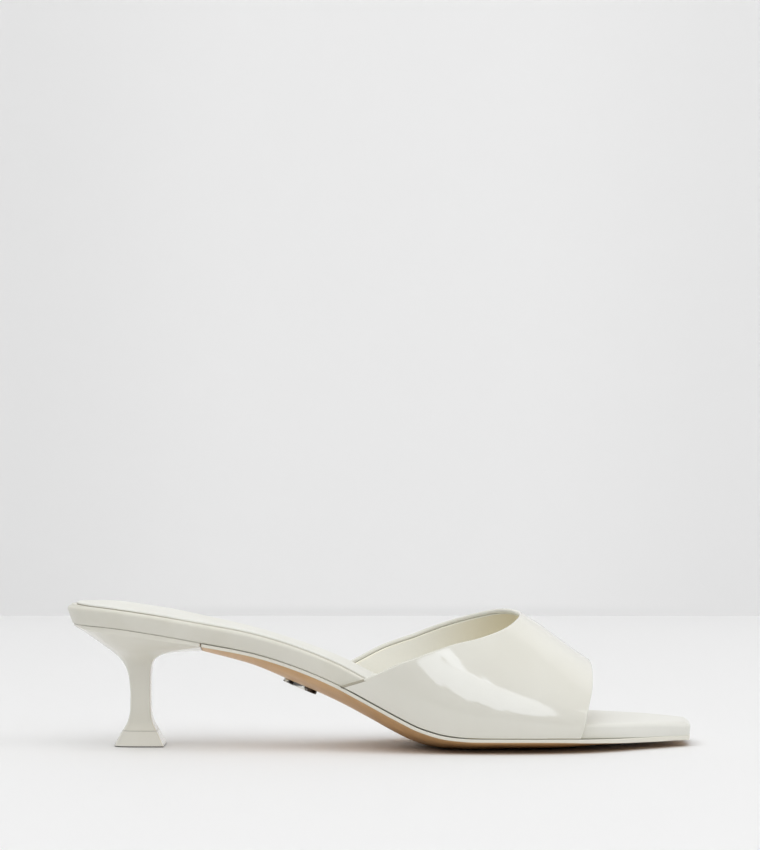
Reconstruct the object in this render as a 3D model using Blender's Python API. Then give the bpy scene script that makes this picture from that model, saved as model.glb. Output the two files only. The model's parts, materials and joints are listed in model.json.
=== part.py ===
# Dress sandal: an open-toe, open-back mule for the right foot on a flared kitten heel.
#
# Frame while modelling: X from the back of the footbed (0) to the toe, +Y to the medial side
# (the big toe), Z up from the floor. One empty then carries every piece, so that the origin
# lands on the floor under the middle of the whole shoe. All lengths are in metres.
import math
from collections import namedtuple

import bmesh
import bpy
from mathutils import Vector

# Footbed in plan
LENGTH = 0.2490
SEAT_WIDTH = 0.0490
WAIST_WIDTH = 0.0345
BALL_WIDTH = 0.0735
TOE_WIDTH = 0.0240
TOE_OFFSET = 0.0080
TOE_CORNER = 0.0140
TOE_SLANT = 0.0007
TOE_BOW = 0.0005
HEEL_CURVE = 0.0245

# Heights of the footbed's underside at its edge
SEAT_HEIGHT = 0.0489
BALL_EDGE_HEIGHT = 0.0060

# Padded footbed, and the sock that lies on it as far as the vamp
BOARD = 0.0073
BOARD_ROUND = 0.0015
BOARD_TUCK = 0.0021
SOCK = 0.0006
SOCK_INSET = 0.0019
SOCK_BACK_INSET = 0.0020
HEEL_PAD = 0.0008

# Outsole
SOLE_EDGE = 0.0014
SOLE_EDGE_ROUND = 0.00025
SOLE_MIDDLE = 0.0026
SOLE_WEAR = 0.0010
SOLE_LEDGE = 0.0003
UPPER_LEDGE = 0.0006

# Depth of the rounded belly at the ball: the sole's reaches the floor and is worn flat on it
SOLE_BELLY = BALL_EDGE_HEIGHT - SOLE_EDGE + SOLE_WEAR
BOARD_BELLY = SOLE_BELLY - (SOLE_MIDDLE - SOLE_EDGE)

# Upper
WALL = 0.0018
INSTEP_HEIGHT = 0.0533
RIDGE_OFFSET = 0.0060
UPPER_BULGE = 0.0012

# Heel and its top piece
BREAST = 0.0542
HEEL_TUCK = 0.0003
STEM_CENTRE = 0.0292
STEM_DEPTH = 0.0082
STEM_WIDTH = 0.0090
STEM_CORNER = 5
TOP_PIECE_HEIGHT = 0.0062
TOP_PIECE_ROUND = 0.0004
FOOT_DEPTH = 0.0201
FOOT_WIDTH = 0.0180
FOOT_BEHIND = 0.0004

# Plain oval plate under the waist
BADGE_CENTRE = 0.0932
BADGE_LENGTH = 0.0132
BADGE_WIDTH = 0.0086
BADGE_THICKNESS = 0.0012
BADGE_RIM = 0.0010
BADGE_RIM_ROUND = 0.00025
BADGE_DISH = 0.0004

# Space left between two pieces that touch
GAP = 0.0003

# Where a form starts and is whole, or ends, as shares of LENGTH
TUCK_FADES = (0.30, 0.43)
SOCK_ENDS = 0.78
UPPER_CARRIED = (0.425, 0.46)
UPPER_PASSED = (0.82, 0.93)
SOCK_BACK_FADES = (0.00, 0.05)
PAD_RISES = (0.01, 0.09)
PAD_FALLS = (0.16, 0.32)
TOE_SHIFTS = (0.86, 1.00)

# Share of the last's side, from the feather up, that bulges past the plain arch
BULGE_REACH = 1 / 3

# How far the heel's foot and the top piece's upper face are spread from the stem to the tip
HEEL_FOOT_SPREAD = 0.47
TOP_PIECE_SPREAD = 0.50

# Mesh density
SOLE_STEPS = 36
ACROSS_STEPS = 8
UPPER_AROUND = 44
UPPER_ALONG = 20
HEEL_STEPS = 12
BADGE_AROUND = 28
ROUND_TURNS = (0, 30, 60, 85)
SHARP_ANGLE = 40

# Share of a length or of the way round over which a slope is measured
SLOPE_STEP = 0.01

# Share of a rounded end left as a flat chord, and how far steps bunch up towards both ends
END_CHORD = 0.01
EASING = 0.65

LATERAL, MEDIAL = -1, 1

# Plan outline. along is a share of LENGTH; lateral and medial are shares of width.
Outline = namedtuple("Outline", "along lateral medial width")
OUTLINE = [
    Outline(0.00, 0.470, 0.470, SEAT_WIDTH),
    Outline(0.10, 0.508, 0.478, SEAT_WIDTH),
    Outline(0.16, 0.520, 0.475, SEAT_WIDTH),
    Outline(0.22, 0.500, 0.400, SEAT_WIDTH),
    Outline(0.28, 0.675, 0.425, WAIST_WIDTH),
    Outline(0.34, 0.667, 0.340, WAIST_WIDTH),
    Outline(0.40, 0.713, 0.390, WAIST_WIDTH),
    Outline(0.46, 0.367, 0.252, BALL_WIDTH),
    Outline(0.52, 0.419, 0.340, BALL_WIDTH),
    Outline(0.58, 0.467, 0.418, BALL_WIDTH),
    Outline(0.64, 0.491, 0.473, BALL_WIDTH),
    Outline(0.69, 0.496, 0.498, BALL_WIDTH),
    Outline(0.74, 0.488, 0.502, BALL_WIDTH),
    Outline(0.80, 0.450, 0.495, BALL_WIDTH),
    Outline(0.86, 0.368, 0.478, BALL_WIDTH),
    Outline(0.91, 0.270, 0.450, BALL_WIDTH),
    Outline(0.96, 0.162, 0.400, BALL_WIDTH),
    Outline(1.00, 0.080, 0.350, BALL_WIDTH),
]

# Side profile. rise is a share of the climb from the ball's edge to the seat, board a share of
# BOARD, and belly a share of SOLE_BELLY and BOARD_BELLY.
Profile = namedtuple("Profile", "along rise board belly")
PROFILE = [
    Profile(0.000, 1.005, 0.99, 0.00),
    Profile(0.058, 0.992, 1.00, 0.03),
    Profile(0.139, 0.931, 1.01, 0.21),
    Profile(0.222, 0.844, 1.01, 0.56),
    Profile(0.296, 0.759, 1.01, 0.81),
    Profile(0.375, 0.617, 1.03, 1.20),
    Profile(0.438, 0.463, 1.07, 1.27),
    Profile(0.486, 0.319, 1.06, 1.30),
    Profile(0.532, 0.180, 1.01, 1.36),
    Profile(0.564, 0.093, 0.96, 1.30),
    Profile(0.610, 0.023, 0.89, 1.14),
    Profile(0.657, 0.002, 0.83, 1.00),
    Profile(0.700, 0.001, 0.78, 0.93),
    Profile(0.766, -0.002, 0.71, 0.89),
    Profile(0.845, -0.013, 0.78, 0.56),
    Profile(0.910, -0.026, 0.78, 0.36),
    Profile(0.960, -0.033, 0.73, 0.21),
    Profile(1.000, -0.037, 0.65, 0.04),
]

# Crown line of the last under the upper, and where it would run on behind the throat. height is
# a share of INSTEP_HEIGHT.
Crown = namedtuple("Crown", "along height")
CROWN = [
    Crown(0.380, 1.980),
    Crown(0.520, 1.620),
    Crown(0.600, 1.400),
    Crown(0.680, 1.135),
    Crown(0.726, 1.000),
    Crown(0.758, 0.908),
    Crown(0.790, 0.797),
    Crown(0.820, 0.695),
    Crown(0.850, 0.605),
]

# Free edges of the upper. around runs from the lateral feather (0) over the crown (0.5) to the
# medial feather (1); rear and front are shares of LENGTH.
Edges = namedtuple("Edges", "around rear front")
EDGES = [
    Edges(0.000, 0.4385, 0.8170),
    Edges(0.036, 0.4760, 0.8220),
    Edges(0.098, 0.5325, 0.8270),
    Edges(0.179, 0.6110, 0.8340),
    Edges(0.231, 0.6585, 0.8378),
    Edges(0.292, 0.6910, 0.8402),
    Edges(0.389, 0.7195, 0.8415),
    Edges(0.500, 0.7255, 0.8408),
    Edges(0.592, 0.7035, 0.8398),
    Edges(0.643, 0.6890, 0.8390),
    Edges(0.702, 0.6650, 0.8370),
    Edges(0.759, 0.6325, 0.8345),
    Edges(0.837, 0.5670, 0.8300),
    Edges(0.906, 0.5010, 0.8250),
    Edges(0.963, 0.4520, 0.8210),
    Edges(1.000, 0.4150, 0.8170),
]

# Heel from its foot up. foot is how far a section is spread from the stem to the top piece's
# size; back, front and side are how far it is spread from the stem to the seat; back_height and
# front_height are shares of the climb from the heel's foot to the seat and to the breast's edge.
Section = namedtuple("Section", "foot back front side back_height front_height")
HEEL = [
    Section(0.16, 0.000, 0.000, 0.000, 0.082, 0.113),
    Section(0.02, 0.000, 0.000, 0.000, 0.189, 0.257),
    Section(0.00, 0.000, 0.000, 0.000, 0.318, 0.432),
    Section(0.00, 0.018, 0.000, 0.012, 0.460, 0.624),
    Section(0.00, 0.058, 0.010, 0.065, 0.562, 0.767),
    Section(0.00, 0.124, 0.043, 0.160, 0.632, 0.853),
    Section(0.00, 0.230, 0.125, 0.320, 0.698, 0.917),
    Section(0.00, 0.336, 0.260, 0.500, 0.745, 0.959),
    Section(0.00, 0.460, 0.460, 0.680, 0.792, 0.981),
    Section(0.00, 0.637, 0.740, 0.850, 0.858, 0.994),
    Section(0.00, 0.814, 0.940, 0.945, 0.925, 0.997),
    Section(0.00, 0.990, 1.000, 0.990, 0.982, 1.000),
]


def smooth(low, high, value):
    """0 below low, 1 above high, and an even turn between them."""
    share = min(1.0, max(0.0, (value - low) / (high - low)))
    return share * share * (3 - 2 * share)


def mix(first, second, share):
    return first + (second - first) * share


def slopes(xs, ys):
    """Slopes for a curve through the points that never swings past them."""
    steps = [(ys[i + 1] - ys[i]) / (xs[i + 1] - xs[i]) for i in range(len(xs) - 1)]
    inner = []
    for before, after in zip(steps, steps[1:]):
        inner.append(0.0 if before * after <= 0 else 2 * before * after / (before + after))
    return [steps[0]] + inner + [steps[-1]]


def curve(table, value, key="along"):
    """A smooth function of the key column that passes through value(row) at each row."""
    xs = [getattr(row, key) for row in table]
    ys = [value(row) for row in table]
    tangents = slopes(xs, ys)

    def at(place):
        place = min(xs[-1], max(xs[0], place))
        i = min(len(xs) - 2, sum(x <= place for x in xs) - 1)
        span = xs[i + 1] - xs[i]
        t = (place - xs[i]) / span
        start = (1 + 2 * t) * (1 - t) ** 2 * ys[i] + t * (1 - t) ** 2 * span * tangents[i]
        end = t * t * (3 - 2 * t) * ys[i + 1] + t * t * (t - 1) * span * tangents[i + 1]
        return start + end

    return at


lateral_width = curve(OUTLINE, lambda row: row.lateral * row.width)
medial_width = curve(OUTLINE, lambda row: row.medial * row.width)
rise_share = curve(PROFILE, lambda row: row.rise)
board_share = curve(PROFILE, lambda row: row.board)
belly_share = curve(PROFILE, lambda row: row.belly)
crown_share = curve(CROWN, lambda row: row.height)
rear_share = curve(EDGES, lambda row: row.rear, "around")
front_share = curve(EDGES, lambda row: row.front, "around")


# Plan of the last

def round_end(distance, radius):
    """How far a rounded end has opened, from 0 to 1, at a distance from its tip."""
    left = min(1.0, max(0.0, 1 - distance / radius))
    return math.sqrt(1 - left * left)


def straight_half_width(x, side):
    """Half width as if both ends were cut square."""
    table = lateral_width if side == LATERAL else medial_width
    return table(x / LENGTH)


def half_width(x, side, inset=0.0):
    """Half width of the footbed's outline, or of one set in from it, with its round ends."""
    step = SLOPE_STEP * LENGTH
    rise = straight_half_width(x + step, side) - straight_half_width(x - step, side)
    full = straight_half_width(x, side) - inset * math.hypot(1, rise / (2 * step))
    toe_flat = TOE_WIDTH / 2 + side * TOE_OFFSET
    toe = mix(toe_flat, full, round_end(LENGTH - inset - x, TOE_CORNER - inset))
    return toe * round_end(x - inset + END_CHORD * HEEL_CURVE, HEEL_CURVE - inset)


def across(x, y, inset=0.0):
    """1 on the middle line, falling to 0 at the side of the outline."""
    half = straight_half_width(x, LATERAL if y < 0 else MEDIAL) - inset
    return max(0.0, 1 - (y / half) ** 2)


# Side profile of the last

def feather_height(x):
    """Height of the footbed's underside at its edge."""
    return mix(BALL_EDGE_HEIGHT, SEAT_HEIGHT, rise_share(x / LENGTH))


def board_top(x):
    return feather_height(x) + BOARD * board_share(x / LENGTH)


def tuck(x):
    """How far the footbed's wall leans in at its foot, behind the upper."""
    return BOARD_TUCK * (1 - smooth(*TUCK_FADES, x / LENGTH))


def underside(x, y):
    """The footbed's underside, which the heel and the outsole follow."""
    return feather_height(x) - BOARD_BELLY * belly_share(x / LENGTH) * across(x, y, tuck(x))


def sole_inset(x):
    """Where the outsole's edge lies: it stands out further where it carries the upper."""
    carried = smooth(*UPPER_CARRIED, x / LENGTH) - smooth(*UPPER_PASSED, x / LENGTH)
    return tuck(x) - SOLE_LEDGE - carried * (WALL + UPPER_LEDGE)


def ground(x, y):
    """The outsole's underside, flat where it meets the floor under the ball."""
    belly = SOLE_BELLY * belly_share(x / LENGTH) * across(x, y, sole_inset(x))
    return max(0.0, feather_height(x) - SOLE_EDGE - belly)


# Rings, caps and slabs

def eased_shares(count):
    """Shares from 0 to 1, closer together towards both ends."""
    shares = []
    for i in range(count + 1):
        even = i / count
        shares.append(mix(even, 0.5 - 0.5 * math.cos(math.pi * even), EASING))
    return shares


def ring_of(places, half):
    """Plan points round a shape: lateral side, front edge, medial side and back edge."""
    lateral = [Vector((x, -half(x, LATERAL))) for x in places]
    medial = [Vector((x, half(x, MEDIAL))) for x in places]
    inner = [j / ACROSS_STEPS for j in range(1, ACROSS_STEPS)]
    front = [lateral[-1].lerp(medial[-1], share) for share in inner]
    back = [medial[0].lerp(lateral[0], share) for share in inner]
    return lateral + front + medial[::-1] + back


def toe_shift(x, y):
    """How far the toe's front leans forward on the big toe's side and back at its corners."""
    sideways = min(1.5, max(-1.5, 2 * (y - TOE_OFFSET) / TOE_WIDTH))
    return smooth(*TOE_SHIFTS, x / LENGTH) * (TOE_SLANT * sideways - TOE_BOW * sideways ** 2)


def outline_ring(steps, inset, start=None, end=None):
    """A ring set in from the footbed's outline by inset(x), between start and end if given."""
    first = inset(0.0) if start is None else start
    last = LENGTH - inset(LENGTH) if end is None else end
    places = [mix(first, last, share) for share in eased_shares(steps)]
    ring = ring_of(places, lambda x, side: half_width(x, side, inset(x)))
    return [Vector((point.x + toe_shift(*point), point.y)) for point in ring]


def add_cap(mesh, loop, plan, steps, height):
    """Closes a ring of vertices with a grid of chords that follows height(x, y)."""
    lateral = list(range(steps + 1))
    medial = [2 * steps + ACROSS_STEPS - i for i in lateral]
    grid = []
    for i in lateral:
        if i == 0:
            row = [loop[0]] + [loop[-j] for j in range(1, ACROSS_STEPS)] + [loop[medial[0]]]
        elif i == steps:
            row = [loop[steps + j] for j in range(ACROSS_STEPS + 1)]
        else:
            row = [loop[i]]
            for j in range(1, ACROSS_STEPS):
                point = plan[i].lerp(plan[medial[i]], j / ACROSS_STEPS)
                row.append(mesh.verts.new((point.x, point.y, height(point.x, point.y))))
            row.append(loop[medial[i]])
        grid.append(row)
    for low, high in zip(grid, grid[1:]):
        for j in range(ACROSS_STEPS):
            mesh.faces.new((low[j], low[j + 1], high[j + 1], high[j]))


def add_loop(mesh, plan, height):
    return [mesh.verts.new((point.x, point.y, height(point.x, point.y))) for point in plan]


def join_loops(mesh, low, high):
    for i, vertex in enumerate(low):
        after = (i + 1) % len(low)
        mesh.faces.new((vertex, low[after], high[after], high[i]))


def slab(name, material, levels, bottom, top, start=None, end=None):
    """A layer of the sole: rings stacked from its lower edge up, closed by two curved faces."""
    mesh = bmesh.new()
    plans = [outline_ring(SOLE_STEPS, inset, start, end) for inset, _ in levels]
    loops = [add_loop(mesh, plan, height) for plan, (_, height) in zip(plans, levels)]
    for low, high in zip(loops, loops[1:]):
        join_loops(mesh, low, high)
    add_cap(mesh, loops[0], plans[0], SOLE_STEPS, bottom)
    add_cap(mesh, loops[-1], plans[-1], SOLE_STEPS, top)
    return make_object(name, mesh, material)


def make_object(name, mesh, material):
    bmesh.ops.recalc_face_normals(mesh, faces=mesh.faces)
    data = bpy.data.meshes.new(name)
    mesh.to_mesh(data)
    mesh.free()
    data.materials.append(material)
    data.shade_smooth()
    data.set_sharp_from_angle(angle=math.radians(SHARP_ANGLE))
    made = bpy.data.objects.new(name, data)
    bpy.context.scene.collection.objects.link(made)
    return made


def make_material(name, colour, roughness, metallic=0.0, coat=0.0):
    material = bpy.data.materials.new(name)
    material.use_nodes = True
    shader = material.node_tree.nodes["Principled BSDF"]
    shader.inputs["Base Color"].default_value = (*colour, 1.0)
    shader.inputs["Roughness"].default_value = roughness
    shader.inputs["Metallic"].default_value = metallic
    shader.inputs["Coat Weight"].default_value = coat
    return material


# Sole pieces

def footbed(material):
    """The wrapped and padded insole board: round top edge, wall leaning in towards the heel."""

    def leaning(share):
        def inset(x):
            return tuck(x) * (1 - share)

        def height(x, y):
            return mix(underside(x, y), board_top(x) - BOARD_ROUND, share)

        return inset, height

    def rounded(turn):
        angle = math.radians(turn)

        def inset(x):
            return BOARD_ROUND * (1 - math.cos(angle))

        def height(x, y):
            return board_top(x) - BOARD_ROUND * (1 - math.sin(angle))

        return inset, height

    levels = [leaning(0.0), leaning(0.5)] + [rounded(turn) for turn in ROUND_TURNS]
    return slab("footbed", material, levels, underside, lambda x, y: board_top(x))


def sock_inset(x):
    return SOCK_INSET + SOCK_BACK_INSET * (1 - smooth(*SOCK_BACK_FADES, x / LENGTH))


def sock(material):
    """The thin lining glued on the footbed as far as the vamp, softly crowned at the heel."""

    def rest(x, y):
        return board_top(x) + GAP

    def top(x, y):
        share = x / LENGTH
        pad = HEEL_PAD * (smooth(*PAD_RISES, share) - smooth(*PAD_FALLS, share))
        return rest(x, y) + SOCK + pad * across(x, y, SOCK_INSET + SOCK)

    levels = [
        (sock_inset, rest),
        (sock_inset, lambda x, y: rest(x, y) + SOCK / 2),
        (lambda x: sock_inset(x) + SOCK / 2, top),
    ]
    return slab("sock", material, levels, rest, top, end=SOCK_ENDS * LENGTH)


def outsole(material):
    """A thin painted edge, with a belly below it that meets the floor under the ball."""

    round_share = SOLE_EDGE_ROUND / (SOLE_EDGE - GAP)

    def rounded_inset(x):
        return sole_inset(x) + SOLE_EDGE_ROUND

    def part_way(share):
        return lambda x, y: mix(ground(x, y), underside(x, y) - GAP, share)

    levels = [
        (rounded_inset, ground),
        (sole_inset, part_way(round_share)),
        (sole_inset, part_way(1 - round_share)),
        (rounded_inset, part_way(1)),
    ]
    return slab("outsole", material, levels, ground, part_way(1), BREAST + GAP)


# Upper

def last_point(x, around):
    """A point of the upper's outer face: an arch over the last at station x."""
    angle = math.pi * around
    side = LATERAL if around < 0.5 else MEDIAL
    step = SLOPE_STEP * LENGTH
    lean = (half_width(x + step, side) - half_width(x - step, side)) / (2 * step)
    base = half_width(x, side) + (GAP + WALL) * math.hypot(1, lean)
    reach = base - side * RIDGE_OFFSET
    from_feather = min(angle, math.pi - angle)
    bulge = UPPER_BULGE * math.sin(min(math.pi, from_feather / BULGE_REACH))
    y = RIDGE_OFFSET + side * (reach * abs(math.cos(angle)) + bulge)
    low = feather_height(x)
    return Vector((x, y, mix(low, INSTEP_HEIGHT * crown_share(x / LENGTH), math.sin(angle))))


def upper_point(around, along):
    """A point of the upper's outer face, from its rear edge (along 0) to its front edge (1)."""
    return last_point(LENGTH * mix(rear_share(around), front_share(around), along), around)


def upper_depth(around, along):
    """The way from the outer face through the wall, level along the two feather edges."""
    before, after = max(0.0, around - SLOPE_STEP), min(1.0, around + SLOPE_STEP)
    behind, ahead = max(0.0, along - SLOPE_STEP), min(1.0, along + SLOPE_STEP)
    over = upper_point(after, along) - upper_point(before, along)
    forward = upper_point(around, ahead) - upper_point(around, behind)
    depth = over.cross(forward).normalized() * WALL
    if around in (0.0, 1.0):
        depth.z = 0.0
    return depth


def upper(material):
    """The vamp band as one wall, open at the collar, at the toe and underneath."""
    mesh = bmesh.new()
    outer, inner = [], []
    for i in range(UPPER_AROUND + 1):
        around = i / UPPER_AROUND
        points = [upper_point(around, j / UPPER_ALONG) for j in range(UPPER_ALONG + 1)]
        depths = [upper_depth(around, j / UPPER_ALONG) for j in range(UPPER_ALONG + 1)]
        outer.append([mesh.verts.new(point) for point in points])
        inner.append([mesh.verts.new(point + depth) for point, depth in zip(points, depths)])
    for grid in (outer, inner):
        for low, high in zip(grid, grid[1:]):
            for j in range(UPPER_ALONG):
                mesh.faces.new((low[j], low[j + 1], high[j + 1], high[j]))
    rim = [(i, 0) for i in range(UPPER_AROUND)]
    rim += [(UPPER_AROUND, j) for j in range(UPPER_ALONG)]
    rim += [(i, UPPER_ALONG) for i in range(UPPER_AROUND, 0, -1)]
    rim += [(0, j) for j in range(UPPER_ALONG, 0, -1)]
    join_loops(mesh, [outer[i][j] for i, j in rim], [inner[i][j] for i, j in rim])
    return make_object("upper", mesh, material)


# Heel

def seat_inset(x):
    return tuck(x) + HEEL_TUCK


def heel_plan(foot, back, front, side):
    """A section's plan, spread from the stem towards the top piece's foot or the seat."""
    seat_back = seat_inset(0.0)
    stem_half = mix(STEM_WIDTH, FOOT_WIDTH, foot) / 2
    depth = mix(STEM_DEPTH, FOOT_DEPTH, foot)
    centre = STEM_CENTRE - foot * FOOT_BEHIND
    first = mix(centre - depth / 2, seat_back, back)
    last = mix(centre + depth / 2, BREAST, front)

    def half(x, which):
        share = (x - first) / (last - first)
        left = min(1.0, max(0.0, 1 - share - END_CHORD))
        stem = stem_half * (1 - left ** STEM_CORNER) ** (1 / STEM_CORNER)
        x_on_seat = mix(seat_back, BREAST, share)
        return mix(stem, half_width(x_on_seat, which, seat_inset(x_on_seat)), side)

    return ring_of([mix(first, last, share) for share in eased_shares(HEEL_STEPS)], half)


def heel(material):
    """A slender stem that flares into the cupped seat behind and into a thin breast in front."""
    mesh = bmesh.new()
    foot_height = TOP_PIECE_HEIGHT + GAP
    lowest = heel_plan(HEEL_FOOT_SPREAD, 0, 0, 0)
    loops = [add_loop(mesh, lowest, lambda x, y: foot_height)]
    breast_belly = SOLE_BELLY * belly_share(BREAST / LENGTH)
    breast_height = feather_height(BREAST) - SOLE_EDGE - breast_belly
    for section in HEEL:
        plan = heel_plan(section.foot, section.back, section.front, section.side)
        first, last = plan[0].x, plan[HEEL_STEPS].x
        widest = max(abs(point.y) for point in plan)

        def height(x, y):
            back = mix(foot_height, SEAT_HEIGHT, section.back_height)
            front = mix(foot_height, breast_height, section.front_height)
            front += section.front * breast_belly * (y / widest) ** 2
            return mix(back, front, (x - first) / (last - first))

        loops.append(add_loop(mesh, plan, height))
    seat = heel_plan(0, 1, 1, 1)
    loops.append(add_loop(mesh, seat, lambda x, y: underside(x, y) - GAP))
    for low, high in zip(loops, loops[1:]):
        join_loops(mesh, low, high)
    add_cap(mesh, loops[0], lowest, HEEL_STEPS, lambda x, y: foot_height)
    add_cap(mesh, loops[-1], seat, HEEL_STEPS, lambda x, y: underside(x, y) - GAP)
    return make_object("heel", mesh, material)


def top_piece(material):
    """The hard-wearing tip that stands on the floor."""
    mesh = bmesh.new()
    spread_lost = TOP_PIECE_ROUND / FOOT_WIDTH
    levels = [(1 - spread_lost, 0.0), (1.0, TOP_PIECE_ROUND), (TOP_PIECE_SPREAD, TOP_PIECE_HEIGHT)]
    plans = [heel_plan(foot, 0, 0, 0) for foot, _ in levels]
    loops = [add_loop(mesh, plan, lambda x, y: z) for plan, (_, z) in zip(plans, levels)]
    for low, high in zip(loops, loops[1:]):
        join_loops(mesh, low, high)
    add_cap(mesh, loops[0], plans[0], HEEL_STEPS, lambda x, y: 0.0)
    add_cap(mesh, loops[-1], plans[-1], HEEL_STEPS, lambda x, y: TOP_PIECE_HEIGHT)
    return make_object("top_piece", mesh, material)


# Plate under the waist

def below_sole(x, y, depth):
    """The point at a depth under the outsole, square to its underside."""
    step = SLOPE_STEP * BADGE_LENGTH
    along = (ground(x + step, y) - ground(x - step, y)) / (2 * step)
    sideways = (ground(x, y + step) - ground(x, y - step)) / (2 * step)
    down = Vector((along, sideways, -1)).normalized()
    return Vector((x, y, ground(x, y))) + down * depth


def badge(material):
    """A plain oval plate with a raised rim, under the waist on the middle line."""
    mesh = bmesh.new()
    face = GAP + BADGE_THICKNESS
    levels = [
        (0.0, GAP),
        (0.0, face - BADGE_RIM_ROUND),
        (BADGE_RIM_ROUND, face),
        (BADGE_RIM, face),
        (BADGE_RIM + BADGE_DISH, face - BADGE_DISH),
        (mix(BADGE_RIM, BADGE_WIDTH / 2, 0.5), face - BADGE_DISH),
    ]
    loops = []
    for inset, depth in levels:
        loop = []
        for k in range(BADGE_AROUND):
            angle = 2 * math.pi * k / BADGE_AROUND
            x = BADGE_CENTRE + (BADGE_LENGTH / 2 - inset) * math.cos(angle)
            y = (BADGE_WIDTH / 2 - inset) * math.sin(angle)
            loop.append(mesh.verts.new(below_sole(x, y, depth)))
        loops.append(loop)
    for low, high in zip(loops, loops[1:]):
        join_loops(mesh, low, high)
    for loop, depth in ((loops[0], GAP), (loops[-1], face - BADGE_DISH)):
        centre = mesh.verts.new(below_sole(BADGE_CENTRE, 0.0, depth))
        for k, vertex in enumerate(loop):
            mesh.faces.new((vertex, loop[(k + 1) % BADGE_AROUND], centre))
    return make_object("badge", mesh, material)


# The shoe

def centre_on_floor(pieces):
    """Hangs every piece on one empty, with the middle of their footprint over its origin."""
    corners = [vertex.co for piece in pieces for vertex in piece.data.vertices]
    middle_x = (min(c.x for c in corners) + max(c.x for c in corners)) / 2
    middle_y = (min(c.y for c in corners) + max(c.y for c in corners)) / 2
    lowest = min(c.z for c in corners)
    holder = bpy.data.objects.new("dress_sandal", None)
    bpy.context.scene.collection.objects.link(holder)
    holder.location = (-middle_x, -middle_y, -lowest)
    for piece in pieces:
        piece.parent = holder


def build():
    for old in list(bpy.data.objects):
        bpy.data.objects.remove(old)
    patent = make_material("cream_patent", (0.80, 0.74, 0.62), 0.22, coat=0.8)
    wrapped = make_material("cream_leather", (0.78, 0.72, 0.61), 0.40)
    lining = make_material("beige_lining", (0.72, 0.65, 0.53), 0.55)
    painted = make_material("cream_paint", (0.80, 0.74, 0.63), 0.30, coat=0.3)
    tan = make_material("tan_sole", (0.55, 0.38, 0.23), 0.45)
    tread = make_material("cream_rubber", (0.76, 0.70, 0.60), 0.60)
    steel = make_material("polished_plate", (0.80, 0.78, 0.74), 0.20, metallic=1.0)
    pieces = [
        outsole(tan),
        footbed(wrapped),
        sock(lining),
        upper(patent),
        heel(painted),
        top_piece(tread),
        badge(steel),
    ]
    centre_on_floor(pieces)


build()
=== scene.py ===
# %% [markdown]
# A dress sandal in patent leather: an open-toe mule on a kitten heel, seen from its outer side.
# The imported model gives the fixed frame: every piece here lies in metres, in that frame, with the
# toe towards +X, the medial side towards +Y and the floor at Z = 0. Loading it comes first, so that
# each later cell can measure what it has to fit.

# %% Load the frame
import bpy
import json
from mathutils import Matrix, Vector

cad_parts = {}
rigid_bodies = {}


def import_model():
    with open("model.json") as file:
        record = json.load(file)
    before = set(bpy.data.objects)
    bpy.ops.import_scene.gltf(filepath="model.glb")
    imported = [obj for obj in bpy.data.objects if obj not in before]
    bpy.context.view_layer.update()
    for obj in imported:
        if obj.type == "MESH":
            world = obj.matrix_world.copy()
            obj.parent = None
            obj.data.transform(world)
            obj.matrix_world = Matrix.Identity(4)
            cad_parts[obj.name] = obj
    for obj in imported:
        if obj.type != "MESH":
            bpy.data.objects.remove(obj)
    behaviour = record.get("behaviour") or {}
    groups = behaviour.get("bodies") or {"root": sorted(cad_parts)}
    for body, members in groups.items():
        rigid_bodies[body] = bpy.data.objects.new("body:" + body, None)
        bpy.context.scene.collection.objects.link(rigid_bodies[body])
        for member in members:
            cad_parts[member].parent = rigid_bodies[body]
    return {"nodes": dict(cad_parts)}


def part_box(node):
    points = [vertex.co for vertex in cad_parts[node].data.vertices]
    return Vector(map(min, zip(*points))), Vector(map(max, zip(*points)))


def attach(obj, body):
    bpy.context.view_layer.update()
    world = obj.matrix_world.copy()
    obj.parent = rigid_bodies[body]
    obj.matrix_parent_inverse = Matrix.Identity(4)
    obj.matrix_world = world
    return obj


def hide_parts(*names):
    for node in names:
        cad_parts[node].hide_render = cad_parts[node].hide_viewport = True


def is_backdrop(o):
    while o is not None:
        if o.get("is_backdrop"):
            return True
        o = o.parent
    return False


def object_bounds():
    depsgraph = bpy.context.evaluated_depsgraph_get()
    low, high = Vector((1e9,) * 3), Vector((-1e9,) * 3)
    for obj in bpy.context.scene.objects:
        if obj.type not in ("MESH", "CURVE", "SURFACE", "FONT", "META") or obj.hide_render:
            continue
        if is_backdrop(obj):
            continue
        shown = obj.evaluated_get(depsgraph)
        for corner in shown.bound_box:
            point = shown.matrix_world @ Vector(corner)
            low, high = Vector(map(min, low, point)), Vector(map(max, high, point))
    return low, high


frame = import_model()
CAD_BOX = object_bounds()
print("pieces to dress:", ", ".join(sorted(frame["nodes"])))

# %% [markdown]
# Everything below is ordinary Blender Python. Numpy works out the long rows of points, and bmesh and
# bpy turn them into meshes. All sizes are in metres, with one short name for a millimetre, and
# everything enters the scene through the same small function.

# %% Imports and units
import json
import math
from collections import namedtuple

import bmesh
import bpy
import numpy as np
from mathutils import Vector

MM = 0.001


def put(name, data):
    """A new object for this data, in the scene."""
    thing = bpy.data.objects.new(name, data)
    bpy.context.scene.collection.objects.link(thing)
    return thing


print("Blender", bpy.app.version_string, "with a unit of one metre")

# %% [markdown]
# The shoe was drawn from the back of the footbed, while the frame has its origin under the middle.
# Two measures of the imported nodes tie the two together: where the footbed starts, and the middle
# line of the top piece, which stands straight under the heel.

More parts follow.
